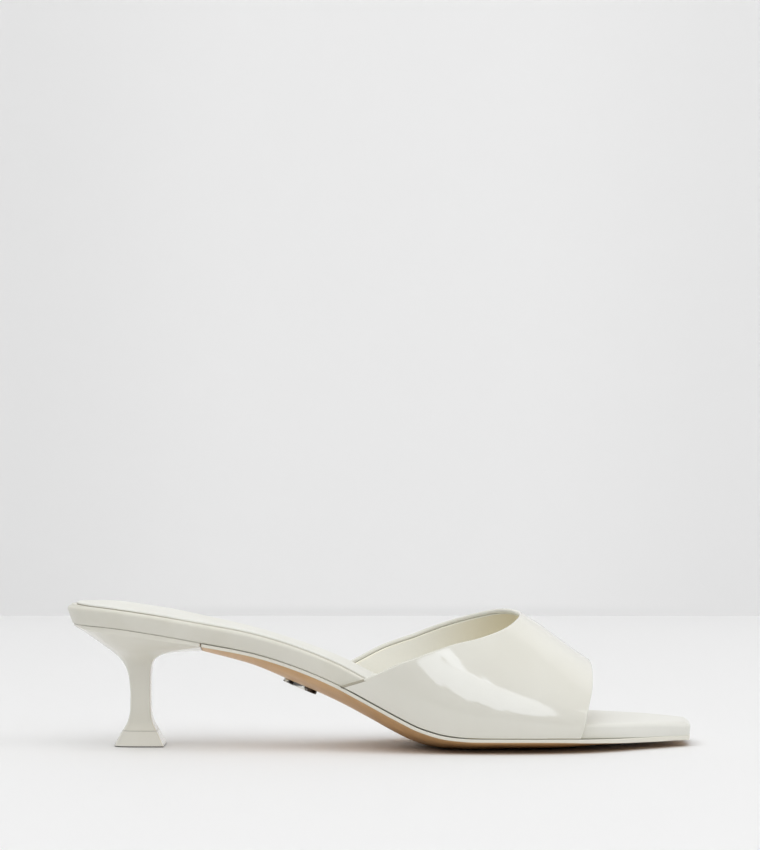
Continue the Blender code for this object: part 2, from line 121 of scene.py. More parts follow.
# %% Tie the drawing to the frame
HEEL_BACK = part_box("footbed")[0].x
MIDDLE_LINE = (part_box("top_piece")[0].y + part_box("top_piece")[1].y) / 2
ORIGIN = np.array([HEEL_BACK, MIDDLE_LINE, 0.0])
print("back of the footbed at", round(HEEL_BACK / MM, 2), "mm, middle line at",
      round(MIDDLE_LINE / MM, 2), "mm")

# %% [markdown]
# The camera stands level at the height of a low product table, square to the shoe's outer side and
# just over a metre away. A long lens from there keeps the near and far edges of the insole only a
# little apart, as in a catalogue picture. The sensor is measured on its height, so the frame is the
# same whatever shape the preview window has.

# %% Camera
CAMERA_PLACE = (0.1248, -1.3000, 0.1281)
SENSOR_HEIGHT_MM = 24.0
PICTURE_HEIGHT_PX = 850
FOCAL_LENGTH_PX = 3250

camera_data = bpy.data.cameras.new("camera")
camera_data.sensor_fit = "VERTICAL"
camera_data.sensor_height = SENSOR_HEIGHT_MM
camera_data.lens = SENSOR_HEIGHT_MM * FOCAL_LENGTH_PX / PICTURE_HEIGHT_PX
camera = put("camera", camera_data)
camera.location = ORIGIN + CAMERA_PLACE
camera.rotation_euler = (math.radians(90), 0, 0)
bpy.context.scene.camera = camera
print("lens", round(camera_data.lens, 1), "mm")

# %% [markdown]
# Small tools for numbers. Mix blends two values, smooth turns gently from 0 to 1, slope measures how
# steep a function is, and curve makes a function out of one column of a table. Curve first draws a
# line through the rows that never swings past them, and then averages it over a short window, because
# a gloss surface shows every sudden change of curvature in its reflections.

# %% Tools for numbers
CURVE_SAMPLES = 3001
SOFTENED_SHARE = 0.035


def mix(first, second, share):
    return first + (second - first) * share


def smooth(low, high, value):
    share = np.clip((value - low) / (high - low), 0, 1)
    return share * share * (3 - 2 * share)


def slope(function, place, step):
    return (function(place + step) - function(place - step)) / (2 * step)


def eased(count, easing=1.0):
    """Shares from 0 to 1 that lie closer together towards both ends."""
    even = np.linspace(0, 1, count + 1)
    return mix(even, 0.5 - 0.5 * np.cos(math.pi * even), easing)


def hermite(xs, ys, places):
    """A curve through the points, whose slopes are kept low enough not to swing past them."""
    steps = np.diff(ys) / np.diff(xs)
    together = np.abs(steps[:-1] + steps[1:]) + 1e-12
    inner = np.where(steps[:-1] * steps[1:] > 0, 2 * steps[:-1] * steps[1:] / together, 0)
    tangents = np.concatenate(([steps[0]], inner * np.sign(steps[1:]), [steps[-1]]))
    i = np.clip(np.searchsorted(xs, places, side="right") - 1, 0, len(xs) - 2)
    span = xs[i + 1] - xs[i]
    t = (places - xs[i]) / span
    start = (1 + 2 * t) * (1 - t) ** 2 * ys[i] + t * (1 - t) ** 2 * span * tangents[i]
    end = t * t * (3 - 2 * t) * ys[i + 1] + t * t * (t - 1) * span * tangents[i + 1]
    return start + end


def curve_through(xs, ys):
    """A smooth function through the points."""
    places = np.linspace(xs[0], xs[-1], CURVE_SAMPLES)
    drawn = hermite(np.array(xs, float), np.array(ys, float), places)
    reach = int(CURVE_SAMPLES * SOFTENED_SHARE / 2)
    window = np.hanning(2 * reach + 3)[1:-1]
    before = 2 * drawn[0] - drawn[reach:0:-1]
    after = 2 * drawn[-1] - drawn[-2:-reach - 2:-1]
    drawn = np.convolve(np.concatenate((before, drawn, after)), window / window.sum(), "valid")
    return lambda place: np.interp(place, places, drawn)


def curve(table, value, key="along"):
    """A smooth function of the key column, through value(row) at each row."""
    return curve_through([getattr(row, key) for row in table], [value(row) for row in table])


print("halfway between 0 and 1, smooth gives", smooth(0, 1, 0.5))

# %% [markdown]
# The last is the foot-shaped block that a shoe is made on. Its plan is given as two half widths, one
# to each side of the middle line, for stations along the length. The widths are shares of four real
# sizes: seat, waist, ball and toe. The lateral side runs fairly straight to the ball and then curves
# in to a squared tip that lies towards the big toe, and the medial side cuts in at the waist. Both
# make this a right shoe.

# %% Plan of the last
LENGTH = 0.2490
SEAT_WIDTH = 0.0490
WAIST_WIDTH = 0.0345
BALL_WIDTH = 0.0735
TOE_WIDTH = 0.0240
TOE_OFFSET = 0.0080
TOE_CORNER = 0.0140
TOE_SLANT = 0.0007
TOE_BOW = 0.0005
HEEL_CURVE = 0.0245
LATERAL, MEDIAL = -1, 1

Outline = namedtuple("Outline", "along lateral medial width")
OUTLINE = [
    Outline(0.00, 0.470, 0.470, SEAT_WIDTH),
    Outline(0.10, 0.508, 0.478, SEAT_WIDTH),
    Outline(0.16, 0.520, 0.475, SEAT_WIDTH),
    Outline(0.22, 0.500, 0.400, SEAT_WIDTH),
    Outline(0.28, 0.675, 0.425, WAIST_WIDTH),
    Outline(0.34, 0.667, 0.340, WAIST_WIDTH),
    Outline(0.40, 0.713, 0.390, WAIST_WIDTH),
    Outline(0.46, 0.367, 0.252, BALL_WIDTH),
    Outline(0.52, 0.419, 0.340, BALL_WIDTH),
    Outline(0.58, 0.467, 0.418, BALL_WIDTH),
    Outline(0.64, 0.491, 0.473, BALL_WIDTH),
    Outline(0.69, 0.496, 0.498, BALL_WIDTH),
    Outline(0.74, 0.488, 0.502, BALL_WIDTH),
    Outline(0.80, 0.450, 0.495, BALL_WIDTH),
    Outline(0.86, 0.368, 0.478, BALL_WIDTH),
    Outline(0.91, 0.270, 0.450, BALL_WIDTH),
    Outline(0.96, 0.162, 0.400, BALL_WIDTH),
    Outline(1.00, 0.080, 0.350, BALL_WIDTH),
]
TOE_SHIFTS = (0.86, 1.00)
END_CHORD = 0.001
SLOPE_STEP = 0.01 * LENGTH

lateral_width = curve(OUTLINE, lambda row: row.lateral * row.width)
medial_width = curve(OUTLINE, lambda row: row.medial * row.width)


def straight_half_width(x, side):
    """Half width as if both ends were cut square."""
    return (lateral_width if side == LATERAL else medial_width)(x / LENGTH)


def round_end(distance, radius):
    """How far a rounded end has opened, from 0 to 1, at a distance from its tip."""
    left = np.clip(1 - distance / radius, 0, 1)
    return np.sqrt(1 - left * left)


def half_width(x, side, inset=0.0):
    """Half width of the footbed's outline, or of one set in from it, with its round ends."""
    rise = slope(lambda at: straight_half_width(at, side), x, SLOPE_STEP)
    full = straight_half_width(x, side) - inset * np.hypot(1, rise)
    flat = TOE_WIDTH / 2 + side * TOE_OFFSET
    toe = mix(flat, full, round_end(LENGTH - inset - x, TOE_CORNER - inset))
    return toe * round_end(x - inset + END_CHORD * HEEL_CURVE, HEEL_CURVE - inset)


def across(x, y, inset=0.0):
    """1 on the middle line, falling to 0 at the side of the outline."""
    half = np.where(y < 0, lateral_width(x / LENGTH), medial_width(x / LENGTH)) - inset
    return np.clip(1 - (y / half) ** 2, 0, 1)


def toe_shift(x, y):
    """How far the squared toe leans forward on the big toe's side and back at its corners."""
    sideways = np.clip(2 * (y - TOE_OFFSET) / TOE_WIDTH, -1.5, 1.5)
    return smooth(*TOE_SHIFTS, x / LENGTH) * (TOE_SLANT * sideways - TOE_BOW * sideways ** 2)


stations = np.linspace(0, LENGTH, 200)
widths = half_width(stations, LATERAL) + half_width(stations, MEDIAL)
print("widest", round(widths.max() / MM, 1), "mm at", round(stations[widths.argmax()] / MM), "mm")

# %% [markdown]
# The side profile is the other half of the last. The feather line, where upper and sole meet, falls
# from the high seat in an arch to the ball, and lifts a little at the toe. The footbed's thickness and
# the belly of the sole follow the same stations. The belly is what touches the floor under the ball.

# %% Side profile of the last
SEAT_HEIGHT = 0.0489
BALL_EDGE_HEIGHT = 0.0060
BOARD = 0.0073
BOARD_TUCK = 0.0021
TUCK_FADES = (0.30, 0.43)
SOLE_EDGE = 0.0014
SOLE_MIDDLE = 0.0026
SOLE_WEAR = 0.0010
SOLE_BELLY = BALL_EDGE_HEIGHT - SOLE_EDGE + SOLE_WEAR
BOARD_BELLY = SOLE_BELLY - (SOLE_MIDDLE - SOLE_EDGE)
SOLE_LEDGE = 0.0003
UPPER_LEDGE = 0.0006
WALL = 0.0018
UPPER_CARRIED = (0.425, 0.46)
UPPER_PASSED = (0.82, 0.93)
GAP = 0.0003

Profile = namedtuple("Profile", "along rise board belly")
PROFILE = [
    Profile(0.000, 1.005, 0.99, 0.00),
    Profile(0.058, 0.992, 1.00, 0.03),
    Profile(0.139, 0.931, 1.01, 0.21),
    Profile(0.222, 0.844, 1.01, 0.56),
    Profile(0.296, 0.759, 1.01, 0.81),
    Profile(0.375, 0.617, 1.03, 1.20),
    Profile(0.438, 0.463, 1.07, 1.27),
    Profile(0.486, 0.319, 1.06, 1.30),
    Profile(0.532, 0.180, 1.01, 1.36),
    Profile(0.564, 0.093, 0.96, 1.30),
    Profile(0.610, 0.023, 0.89, 1.14),
    Profile(0.657, 0.002, 0.83, 1.00),
    Profile(0.700, 0.001, 0.78, 0.93),
    Profile(0.766, -0.002, 0.71, 0.89),
    Profile(0.845, -0.013, 0.78, 0.56),
    Profile(0.910, -0.026, 0.78, 0.36),
    Profile(0.960, -0.033, 0.73, 0.21),
    Profile(1.000, -0.037, 0.65, 0.04),
]

rise_share = curve(PROFILE, lambda row: row.rise)
board_share = curve(PROFILE, lambda row: row.board)
belly_share = curve(PROFILE, lambda row: row.belly)


def feather_height(x):
    """Height of the footbed's underside at its edge."""
    return mix(BALL_EDGE_HEIGHT, SEAT_HEIGHT, rise_share(x / LENGTH))


def board_top(x):
    return feather_height(x) + BOARD * board_share(x / LENGTH)


def tuck(x):
    """How far the footbed's wall leans in at its foot, behind the upper."""
    return BOARD_TUCK * (1 - smooth(*TUCK_FADES, x / LENGTH))


def underside(x, y):
    """The footbed's underside, which the heel and the outsole follow."""
    return feather_height(x) - BOARD_BELLY * belly_share(x / LENGTH) * across(x, y, tuck(x))


def sole_inset(x):
    """Where the outsole's edge lies: it stands out further where it carries the upper."""
    carried = smooth(*UPPER_CARRIED, x / LENGTH) - smooth(*UPPER_PASSED, x / LENGTH)
    return tuck(x) - SOLE_LEDGE - carried * (WALL + UPPER_LEDGE)


def ground(x, y):
    """The outsole's underside, worn flat where it meets the floor under the ball."""
    belly = SOLE_BELLY * belly_share(x / LENGTH) * across(x, y, sole_inset(x))
    return np.maximum(0.0, feather_height(x) - SOLE_EDGE - belly)


print("seat", round(float(feather_height(0.0)) / MM, 1), "mm, ball edge",
      round(float(feather_height(0.7 * LENGTH)) / MM, 1), "mm above the floor")

# %% [markdown]
# Every layer of the sole is the same kind of form: rings of points round the outline, stacked from
# the lower edge up, with a curved grid closing the bottom and the top. One builder makes them all. It
# takes a list of levels, each with its inset from the outline and its height, and steps that crowd
# towards the round ends keep those ends smooth.

# %% Builder for layers of the sole
SIDE_STEPS = 210
ACROSS_STEPS = 26


def shade(data, sharp_degrees=None, merge_below=None):
    """Turns the faces outward and shades them smooth, but for edges that are sharper than given."""
    shaper = bmesh.new()
    shaper.from_mesh(data)
    if merge_below:
        bmesh.ops.remove_doubles(shaper, verts=shaper.verts, dist=merge_below)
    bmesh.ops.recalc_face_normals(shaper, faces=shaper.faces)
    shaper.to_mesh(data)
    shaper.free()
    data.shade_smooth()
    if sharp_degrees:
        data.set_sharp_from_angle(angle=math.radians(sharp_degrees))


def make_piece(name, points, faces, material, sharp_degrees=None):
    """A mesh object in the row frame from points drawn from the back of the footbed."""
    data = bpy.data.meshes.new(name)
    data.from_pydata((np.asarray(points) + ORIGIN).tolist(), [], faces)
    data.materials.append(material)
    shade(data, sharp_degrees)
    return put(name, data)


def paint(piece, finish, numbers):
    """Gives one more finish to a piece, on the faces with these numbers."""
    piece.data.materials.append(finish)
    for number in numbers:
        piece.data.polygons[int(number)].material_index = len(piece.data.materials) - 1


def tube_faces(rings, size, closed=False):
    """Quads between equal rings of points, and one face on each end if closed."""
    index = np.arange(rings * size).reshape(-1, size)
    after = np.roll(index, -1, axis=1)
    faces = np.stack((index[:-1], after[:-1], after[1:], index[1:]), -1).reshape(-1, 4).tolist()
    return faces + [index[0].tolist(), index[-1].tolist()] if closed else faces


def ring_of(places, half):
    """Plan points round a shape: lateral side, front edge, medial side and back edge."""
    lateral = np.stack((places, -half(places, LATERAL)), 1)
    medial = np.stack((places, half(places, MEDIAL)), 1)
    shares = eased(ACROSS_STEPS)[1:-1, None]
    front = mix(lateral[-1], medial[-1], shares)
    back = mix(medial[0], lateral[0], shares)
    return np.concatenate((lateral, front, medial[::-1], back))


def outline_ring(inset, start=None, end=None):
    """A ring set in from the footbed's outline by inset(x), between start and end if given."""
    first = inset(0.0) if start is None else start
    last = LENGTH - inset(LENGTH) if end is None else end
    ring = ring_of(mix(first, last, eased(SIDE_STEPS)), lambda x, side: half_width(x, side, inset(x)))
    ring[:, 0] += toe_shift(ring[:, 0], ring[:, 1])
    return ring


def raised(plan, height):
    return np.column_stack((plan, height(plan[:, 0], plan[:, 1])))


def flat(height):
    return lambda x, y: np.full(len(x), height)


def turned_edge(radius, steps=5):
    """Pairs of (set in, set back) that turn a rim over by a radius, from its face to its side."""
    turns = np.linspace(0, math.pi / 2, steps)
    return [(radius * (1 - math.sin(turn)), radius * (1 - math.cos(turn))) for turn in turns]


def cap_grid(count, first, steps, plan, height):
    """Points and quads that close a ring, which starts at vertex first, with a curved grid."""
    lateral = np.arange(steps + 1)
    medial = 2 * steps + ACROSS_STEPS - lateral
    shares = eased(ACROSS_STEPS)[1:-1]
    inner = mix(plan[lateral[1:-1], None], plan[medial[1:-1], None], shares[None, :, None])
    inner = inner.reshape(-1, 2)
    grid = np.zeros((steps + 1, ACROSS_STEPS + 1), int)
    grid[:, 0] = first + lateral
    grid[:, -1] = first + medial
    back = np.arange(len(plan) - 1, len(plan) - ACROSS_STEPS, -1)
    grid[0, 1:-1] = first + back
    grid[-1, 1:-1] = first + steps + np.arange(1, ACROSS_STEPS)
    grid[1:-1, 1:-1] = count + np.arange(len(inner)).reshape(steps - 1, ACROSS_STEPS - 1)
    quads = np.stack((grid[:-1, :-1], grid[:-1, 1:], grid[1:, 1:], grid[1:, :-1]), -1)
    return raised(inner, height), quads.reshape(-1, 4).tolist()


def stacked(loops, bottom, top, steps):
    """Points and quads of a closed form: loops of equal length, closed at both ends."""
    size = len(loops[0])
    points = list(loops)
    faces = tube_faces(len(loops), size)
    last = size * (len(loops) - 1)
    for first, plan, height in ((0, loops[0], bottom), (last, loops[-1], top)):
        inner, quads = cap_grid(sum(map(len, points)), first, steps, plan[:, :2], height)
        points.append(inner)
        faces += quads
    return np.concatenate(points), faces


def slab(name, material, levels, bottom, top, start=None, end=None, sharp_degrees=None,
         edge_finish=None, edge_bands=0):
    """A layer of the sole, from its levels of (inset, height)."""
    loops = [raised(outline_ring(inset, start, end), height) for inset, height in levels]
    points, faces = stacked(loops, bottom, top, SIDE_STEPS)
    piece = make_piece(name, points, faces, material, sharp_degrees)
    if edge_finish:
        paint(piece, edge_finish, range(edge_bands * len(loops[0])))
    print(name, "has", len(piece.data.polygons), "faces and is",
          " x ".join(f"{side / MM:.1f}" for side in piece.dimensions), "mm")
    return piece


print("each ring has", 2 * (SIDE_STEPS + ACROSS_STEPS), "points")

# %% [markdown]
# Each finish starts as one Principled surface with its own colour and roughness. Real surfaces are
# never quite even, so most finishes then get relief: bump layers, each with the size of one grain and
# their height in real units, and many a faint drift of tone. The patterns read Object coordinates, so
# they stay put when the camera moves.

# %% Builder for finishes
def set_inputs(tree, node, inputs):
    """Sets each named input of a node to a value, or links it to another node's output."""
    for name, value in inputs.items():
        socket = node.inputs[name.replace("_", " ")]
        if isinstance(value, bpy.types.NodeSocket):
            tree.links.new(value, socket)
        else:
            socket.default_value = value


def add_node(tree, kind, settings=(), **inputs):
    node = tree.nodes.new(kind)
    for name, value in settings:
        setattr(node, name, value)
    set_inputs(tree, node, inputs)
    return node


def surface(finish):
    return finish.node_tree.nodes["Principled BSDF"]


def new_finish(name, colour, roughness, **sockets):
    finish = bpy.data.materials.new(name)
    finish.use_nodes = True
    set_inputs(finish.node_tree, surface(finish),
               {"Base Color": (*colour, 1), "Roughness": roughness, **sockets})
    return finish


def pattern(finish, kind, grain, stretch=(1, 1, 1)):
    """A texture whose features are about one grain across, in metres, and its output socket."""
    tree = finish.node_tree
    places = add_node(tree, "ShaderNodeTexCoord").outputs["Object"]
    mapped = add_node(tree, "ShaderNodeMapping", Vector=places, Scale=stretch).outputs["Vector"]
    if kind == "cells":
        texture = add_node(tree, "ShaderNodeTexVoronoi", Vector=mapped, Scale=1 / grain)
        return texture.outputs["Distance"]
    texture = add_node(tree, "ShaderNodeTexNoise", Vector=mapped, Scale=1 / grain,
                       Detail=3 if kind == "cloud" else 1)
    return texture.outputs["Fac"]


def add_relief(finish, kind, grain, height, stretch=(1, 1, 1)):
    """Bump of one grain size, added on top of any relief that the finish already has."""
    tree = finish.node_tree
    earlier = {"Normal": link.from_socket for link in surface(finish).inputs["Normal"].links}
    bump = add_node(tree, "ShaderNodeBump", Strength=1.0, Distance=height,
                    Height=pattern(finish, kind, grain, stretch), **earlier)
    bumped = bump.outputs["Normal"]
    set_inputs(tree, surface(finish), {"Normal": bumped, "Coat Normal": bumped})


def blend_towards(finish, second_colour, amount, start, end):
    """Mixes a second colour into the finish where an amount goes from start to end."""
    tree = finish.node_tree
    colour = surface(finish).inputs["Base Color"]
    so_far = colour.links[0].from_socket if colour.links else tuple(colour.default_value)
    spread = add_node(tree, "ShaderNodeMapRange", [("interpolation_type", "SMOOTHSTEP")],
                      Value=amount, From_Min=start, From_Max=end)
    blend = add_node(tree, "ShaderNodeMix", [("data_type", "RGBA")],
                     Factor=spread.outputs["Result"], A=so_far, B=(*second_colour, 1))
    set_inputs(tree, surface(finish), {"Base Color": blend.outputs["Result"]})


def add_drift(finish, second_colour, grain, low=0.35, high=0.65, stretch=(1, 1, 1)):
    """Lets the colour drift slowly towards a second one."""
    blend_towards(finish, second_colour, pattern(finish, "cloud", grain, stretch), low, high)


def add_fade(finish, second_colour, start, end, axis="X"):
    """Lets the colour turn into a second one between two places along an axis."""
    tree = finish.node_tree
    places = add_node(tree, "ShaderNodeTexCoord").outputs["Object"]
    split = add_node(tree, "ShaderNodeSeparateXYZ", Vector=places)
    blend_towards(finish, second_colour, split.outputs[axis], start, end)


def add_wear(finish, grain, smoothest, roughest, stretch=(1, 1, 1)):
    """Lets the roughness vary between two values, as where a hand or a foot has rubbed."""
    tree = finish.node_tree
    spread = add_node(tree, "ShaderNodeMapRange", From_Min=0.3, From_Max=0.7, To_Min=smoothest,
                      To_Max=roughest, Value=pattern(finish, "cloud", grain, stretch))
    set_inputs(tree, surface(finish), {"Roughness": spread.outputs["Result"]})


print("a grain of 1 mm is a texture scale of", 1 / MM)

# %% [markdown]
# The finishes are all in one family of cream. Patent leather is a coloured base under a clear film,
# so it gets a coat that is much smoother than what lies beneath, and a slow ripple like orange peel.
# Its lining is mixed here too. The wrapped leather and the sock, calmer and finely grained, and the
# tan sole leather with the faint streaks of its finishing brush follow in the next cells.

# %% Cream patent and its lining
patent = new_finish("cream_patent", (0.792, 0.782, 0.710), 0.38,
                    Coat_Weight=1.0, Coat_Roughness=0.07, Coat_IOR=1.52,
                    Specular_IOR_Level=0.2)
add_drift(patent, (0.772, 0.759, 0.683), 0.030)
add_relief(patent, "ripple", 0.0065, 0.00005)
add_relief(patent, "ripple", 0.0022, 0.000008)

lining_edge = new_finish("lining_cut_edge", (0.900, 0.880, 0.780), 0.6)

lining = new_finish("beige_lining", (0.872, 0.864, 0.800), 0.52, Coat_Weight=0.12,
                    Coat_Roughness=0.35)
# Towards the throat the colour turns darker and browner: painted shade and painted bounced light of
# the deep inside.
add_fade(lining, (0.820, 0.740, 0.535), 0.010, 0.062)
add_relief(lining, "cells", 0.0006, 0.00002)
add_relief(lining, "cloud", 0.0035, 0.00004)
print("patent and lining:", patent.name, lining.name, lining_edge.name)

# %% [markdown]
# The footbed's leather and the sock are calmer than the patent, with a fine grain of cells half a
# millimetre across. A dull, dark brown is painted shade in the crevice where the vamp's rear fold
# runs out under the footbed. The sock's rolled edge is dark too, partly its own skived edge and
# partly painted shade in the groove, darkest round the heel and paler forward. A light brown line
# runs along the foot of the vamp. The wrapped leather is a little paler round the toe.

# %% Wrapped leather, sock and cut edges
wrapped = new_finish("wrapped_leather", (0.760, 0.745, 0.665), 0.40, Coat_Weight=0.25,
                     Coat_Roughness=0.22)
add_drift(wrapped, (0.730, 0.712, 0.625), 0.014)
add_fade(wrapped, (0.790, 0.786, 0.730), 0.060, 0.095)
add_relief(wrapped, "cells", 0.00055, 0.000012)
add_relief(wrapped, "cloud", 0.0050, 0.00005)

sock_leather = new_finish("sock_leather", (0.786, 0.786, 0.736), 0.50)
add_drift(sock_leather, (0.765, 0.762, 0.706), 0.020)
add_relief(sock_leather, "cells", 0.0005, 0.000018)
add_relief(sock_leather, "cloud", 0.0060, 0.00006)

# Painted shade for the crevice where the vamp's rear fold runs out under the footbed.
crevice_shade = new_finish("painted_crevice_shade", (0.400, 0.370, 0.295), 0.80)
add_relief(crevice_shade, "cloud", 0.0006, 0.00004)

# Partly the sock's own skived edge, partly painted shade in the groove under it: darkest round the
# heel and paler forward.
sock_edge_and_shade = new_finish("sock_edge_and_groove_shade", (0.420, 0.390, 0.310), 0.80)
add_fade(sock_edge_and_shade, (0.700, 0.685, 0.610), -0.100, -0.070)
add_relief(sock_edge_and_shade, "cloud", 0.0006, 0.00004)

# A light brown line along the lowest sliver of the vamp, from the ball forward.
foot_line = new_finish("light_brown_foot_line", (0.560, 0.500, 0.370), 0.70)
add_relief(foot_line, "cloud", 0.0006, 0.00002)

edge_paint = new_finish("cream_edge_paint", (0.800, 0.780, 0.690), 0.36, Coat_Weight=0.2)
add_relief(edge_paint, "cloud", 0.0018, 0.00003)
print("calm finishes:", wrapped.name, sock_leather.name, edge_paint.name)

# %% [markdown]
# The underside is tan sole leather with the faint streaks of its finishing brush, rubbed smoother in
# some places than in others. The heel is lacquered plastic, so its coat is glossier than leather but
# softer than patent. The tip is moulded rubber, and its lowest bands are painted near black as
# painted shade where it meets the floor. The plate is polished metal, with dark patches painted into
# its colour as painted reflections of the shade under the sole.

# %% Sole, heel, tip and plate
tan_leather = new_finish("tan_sole_leather", (0.680, 0.412, 0.182), 0.42, Coat_Weight=0.15,
                         Coat_Roughness=0.3)
add_drift(tan_leather, (0.590, 0.345, 0.145), 0.012, stretch=(0.25, 1, 1))
add_relief(tan_leather, "cells", 0.0005, 0.00002)
add_relief(tan_leather, "cloud", 0.0012, 0.00002, stretch=(0.12, 1, 1))
add_wear(tan_leather, 0.010, 0.34, 0.52)

heel_paint = new_finish("cream_heel_paint", (0.786, 0.768, 0.682), 0.34, Coat_Weight=0.9,
                        Coat_Roughness=0.14)
add_drift(heel_paint, (0.776, 0.757, 0.667), 0.020)
add_relief(heel_paint, "ripple", 0.0035, 0.000014)

contact_shade = new_finish("painted_contact_shade", (0.050, 0.048, 0.045), 0.70)

tip_rubber = new_finish("cream_tip_rubber", (0.798, 0.780, 0.700), 0.40, Coat_Weight=1.0,
                        Coat_Roughness=0.12)
add_relief(tip_rubber, "cells", 0.0004, 0.00002)

plate_with_painted_reflections = new_finish("polished_plate", (0.800, 0.785, 0.750), 0.12, Metallic=1.0)
# Dark patches in its colour are painted reflections of the shade under the sole.
add_drift(plate_with_painted_reflections, (0.060, 0.045, 0.035), 0.0042, low=0.46, high=0.58)
add_relief(plate_with_painted_reflections, "cloud", 0.0011, 0.00001, stretch=(0.2, 1, 1))
print(len(bpy.data.materials), "materials so far")

# %% [markdown]
# The footbed is an insole board with foam, wrapped in leather that is pulled over its edge and glued
# underneath. That gives a wall which leans in at the heel, a soft round upper edge that catches the
# light, and a tight little turn at the foot. The levels below follow that wall from the bottom up. At
# the toe no sock covers it, so the turn there is wider and the top is gently crowned.

# %% Footbed
EDGE_ROUND = 0.0015
TOE_ROUND = 0.0017
TOE_ROUND_GROWS = (0.80, 0.92)
ROUND_OF_WALL = 0.75
TOE_LEAN = 0.0006
TOE_LEANS = (0.93, 1.00)
FOOT_ROUND = 0.0004
FOOT_SHARE = 0.07
WALL_SWELL = 0.00012
TOP_CROWN = 0.0005
WALL_LEVELS = 9
ROUND_LEVELS = 10


def edge_round(x):
    """Radius of the turn from wall to top, wider at the toe but less than the wall's height."""
    wide = mix(EDGE_ROUND, TOE_ROUND, smooth(*TOE_ROUND_GROWS, x / LENGTH))
    return np.minimum(wide, ROUND_OF_WALL * BOARD * board_share(x / LENGTH))


def toe_lean(x):
    """How far the top of the wall stands out over its foot at the tip of the toe."""
    return TOE_LEAN * smooth(*TOE_LEANS, x / LENGTH)


def wall_level(share):
    def inset(x):
        foot = FOOT_ROUND * (1 - round_end(share, FOOT_SHARE))
        swell = WALL_SWELL * np.sin(math.pi * share)
        return tuck(x) * (1 - share) + foot - swell - toe_lean(x) * share

    def height(x, y):
        return mix(underside(x, y), board_top(x) - edge_round(x), share)

    return inset, height


def turn_level(share):
    angle = share * math.pi / 2

    def inset(x):
        return edge_round(x) * (1 - math.cos(angle)) - toe_lean(x)

    def height(x, y):
        return board_top(x) - edge_round(x) * (1 - math.sin(angle))

    return inset, height


def crowned_top(x, y):
    return board_top(x) + TOP_CROWN * (1 - (1 - across(x, y, EDGE_ROUND)) ** 2)


wall_shares = np.concatenate(([0, 0.012, 0.035, FOOT_SHARE], np.linspace(0.15, 1, WALL_LEVELS)))
footbed_levels = [wall_level(share) for share in wall_shares]
footbed_levels += [turn_level(share) for share in np.linspace(0, 1, ROUND_LEVELS + 1)[1:]]
footbed = slab("footbed_wrap", wrapped, footbed_levels, underside, crowned_top)
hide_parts("footbed")
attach(footbed, "root")

# %% [markdown]
# The sock is the thin lining that the wearer sees and stands on. Its skived edge is turned down on
# the footbed and leaves a fine dark groove, which is the most visible line of the whole insole. The
# form is a slab whose side rolls under, so that the groove is a real gap. That rolled side is also
# painted dark, partly as its own edge and partly as painted shade in the groove. A foam pad under
# the heel lifts it a little.

# %% Sock
SOCK = 0.0006
SOCK_INSET = 0.0019
SOCK_BACK_INSET = 0.0020
SOCK_BACK_FADES = (0.00, 0.05)
SOCK_ENDS = 0.78
HEEL_PAD = 0.0008
PAD_RISES = (0.01, 0.09)
PAD_FALLS = (0.16, 0.32)
SOCK_SINKS = 0.0001
SOCK_TUCKED = 0.12
SOCK_TURNS = 12
SOCK_EDGE_BANDS = 4


def sock_inset(x):
    return SOCK_INSET + SOCK_BACK_INSET * (1 - smooth(*SOCK_BACK_FADES, x / LENGTH))


def sock_rest(x, y):
    return crowned_top(x, y) - SOCK_SINKS


def sock_top(x, y):
    share = x / LENGTH
    pad = HEEL_PAD * (smooth(*PAD_RISES, share) - smooth(*PAD_FALLS, share))
    lift = across(x, y, SOCK_INSET + SOCK)
    return board_top(x) + GAP + SOCK + (pad + TOP_CROWN) * lift


def sock_level(turn):
    """The rolled side: turn 0 is tucked under, 0.5 stands out furthest and 1 is on top."""
    angle = math.pi * (turn - 0.5)

    def inset(x):
        return sock_inset(x) + SOCK / 2 * (1 - math.cos(angle))

    def height(x, y):
        return mix(sock_rest(x, y), sock_top(x, y), 0.5 + 0.5 * math.sin(angle))

    return inset, height


sock_levels = [sock_level(turn) for turn in np.linspace(SOCK_TUCKED, 1, SOCK_TURNS)]
sock = slab("sock_lining", sock_leather, sock_levels, sock_rest, sock_top,
            end=SOCK_ENDS * LENGTH, edge_finish=sock_edge_and_shade, edge_bands=SOCK_EDGE_BANDS)
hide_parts("sock")
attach(sock, "root")

# %% [markdown]
# The outsole is a thin leather sole, cut a little wider than the footbed where it carries the upper.
# Its rounded belly is what shows tan under the cream edge. The edge itself is painted, and that paint
# is a piece of its own two cells on, so this body stays just inside it. The ledge on top is painted
# along with the edge.

# %% Outsole
BREAST = 0.0542
PAINT_THICKNESS = 0.00022
SOLE_EDGE_ROUND = 0.00025
LEDGE_FACES_UP = 0.5


def sole_body_inset(x):
    return sole_inset(x) + PAINT_THICKNESS


def sole_level(inset_more, share):
    def inset(x):
        return sole_body_inset(x) + inset_more

    def height(x, y):
        return mix(ground(x, y), underside(x, y) - GAP, share)

    return inset, height


def sole_bed(x, y):
    return underside(x, y) - GAP


sole_levels = [
    sole_level(0.6 * SOLE_EDGE_ROUND, 0.0),
    sole_level(0.15 * SOLE_EDGE_ROUND, 0.06),
    sole_level(0.0, 0.2),
    sole_level(0.0, 0.85),
    sole_level(SOLE_EDGE_ROUND, 1.0),
]
sole = slab("sole_leather", tan_leather, sole_levels, ground, sole_bed, start=BREAST + GAP,
            sharp_degrees=50)
paint(sole, edge_paint,
      [face.index for face in sole.data.polygons if face.normal.z > LEDGE_FACES_UP])
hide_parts("outsole")
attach(sole, "root")

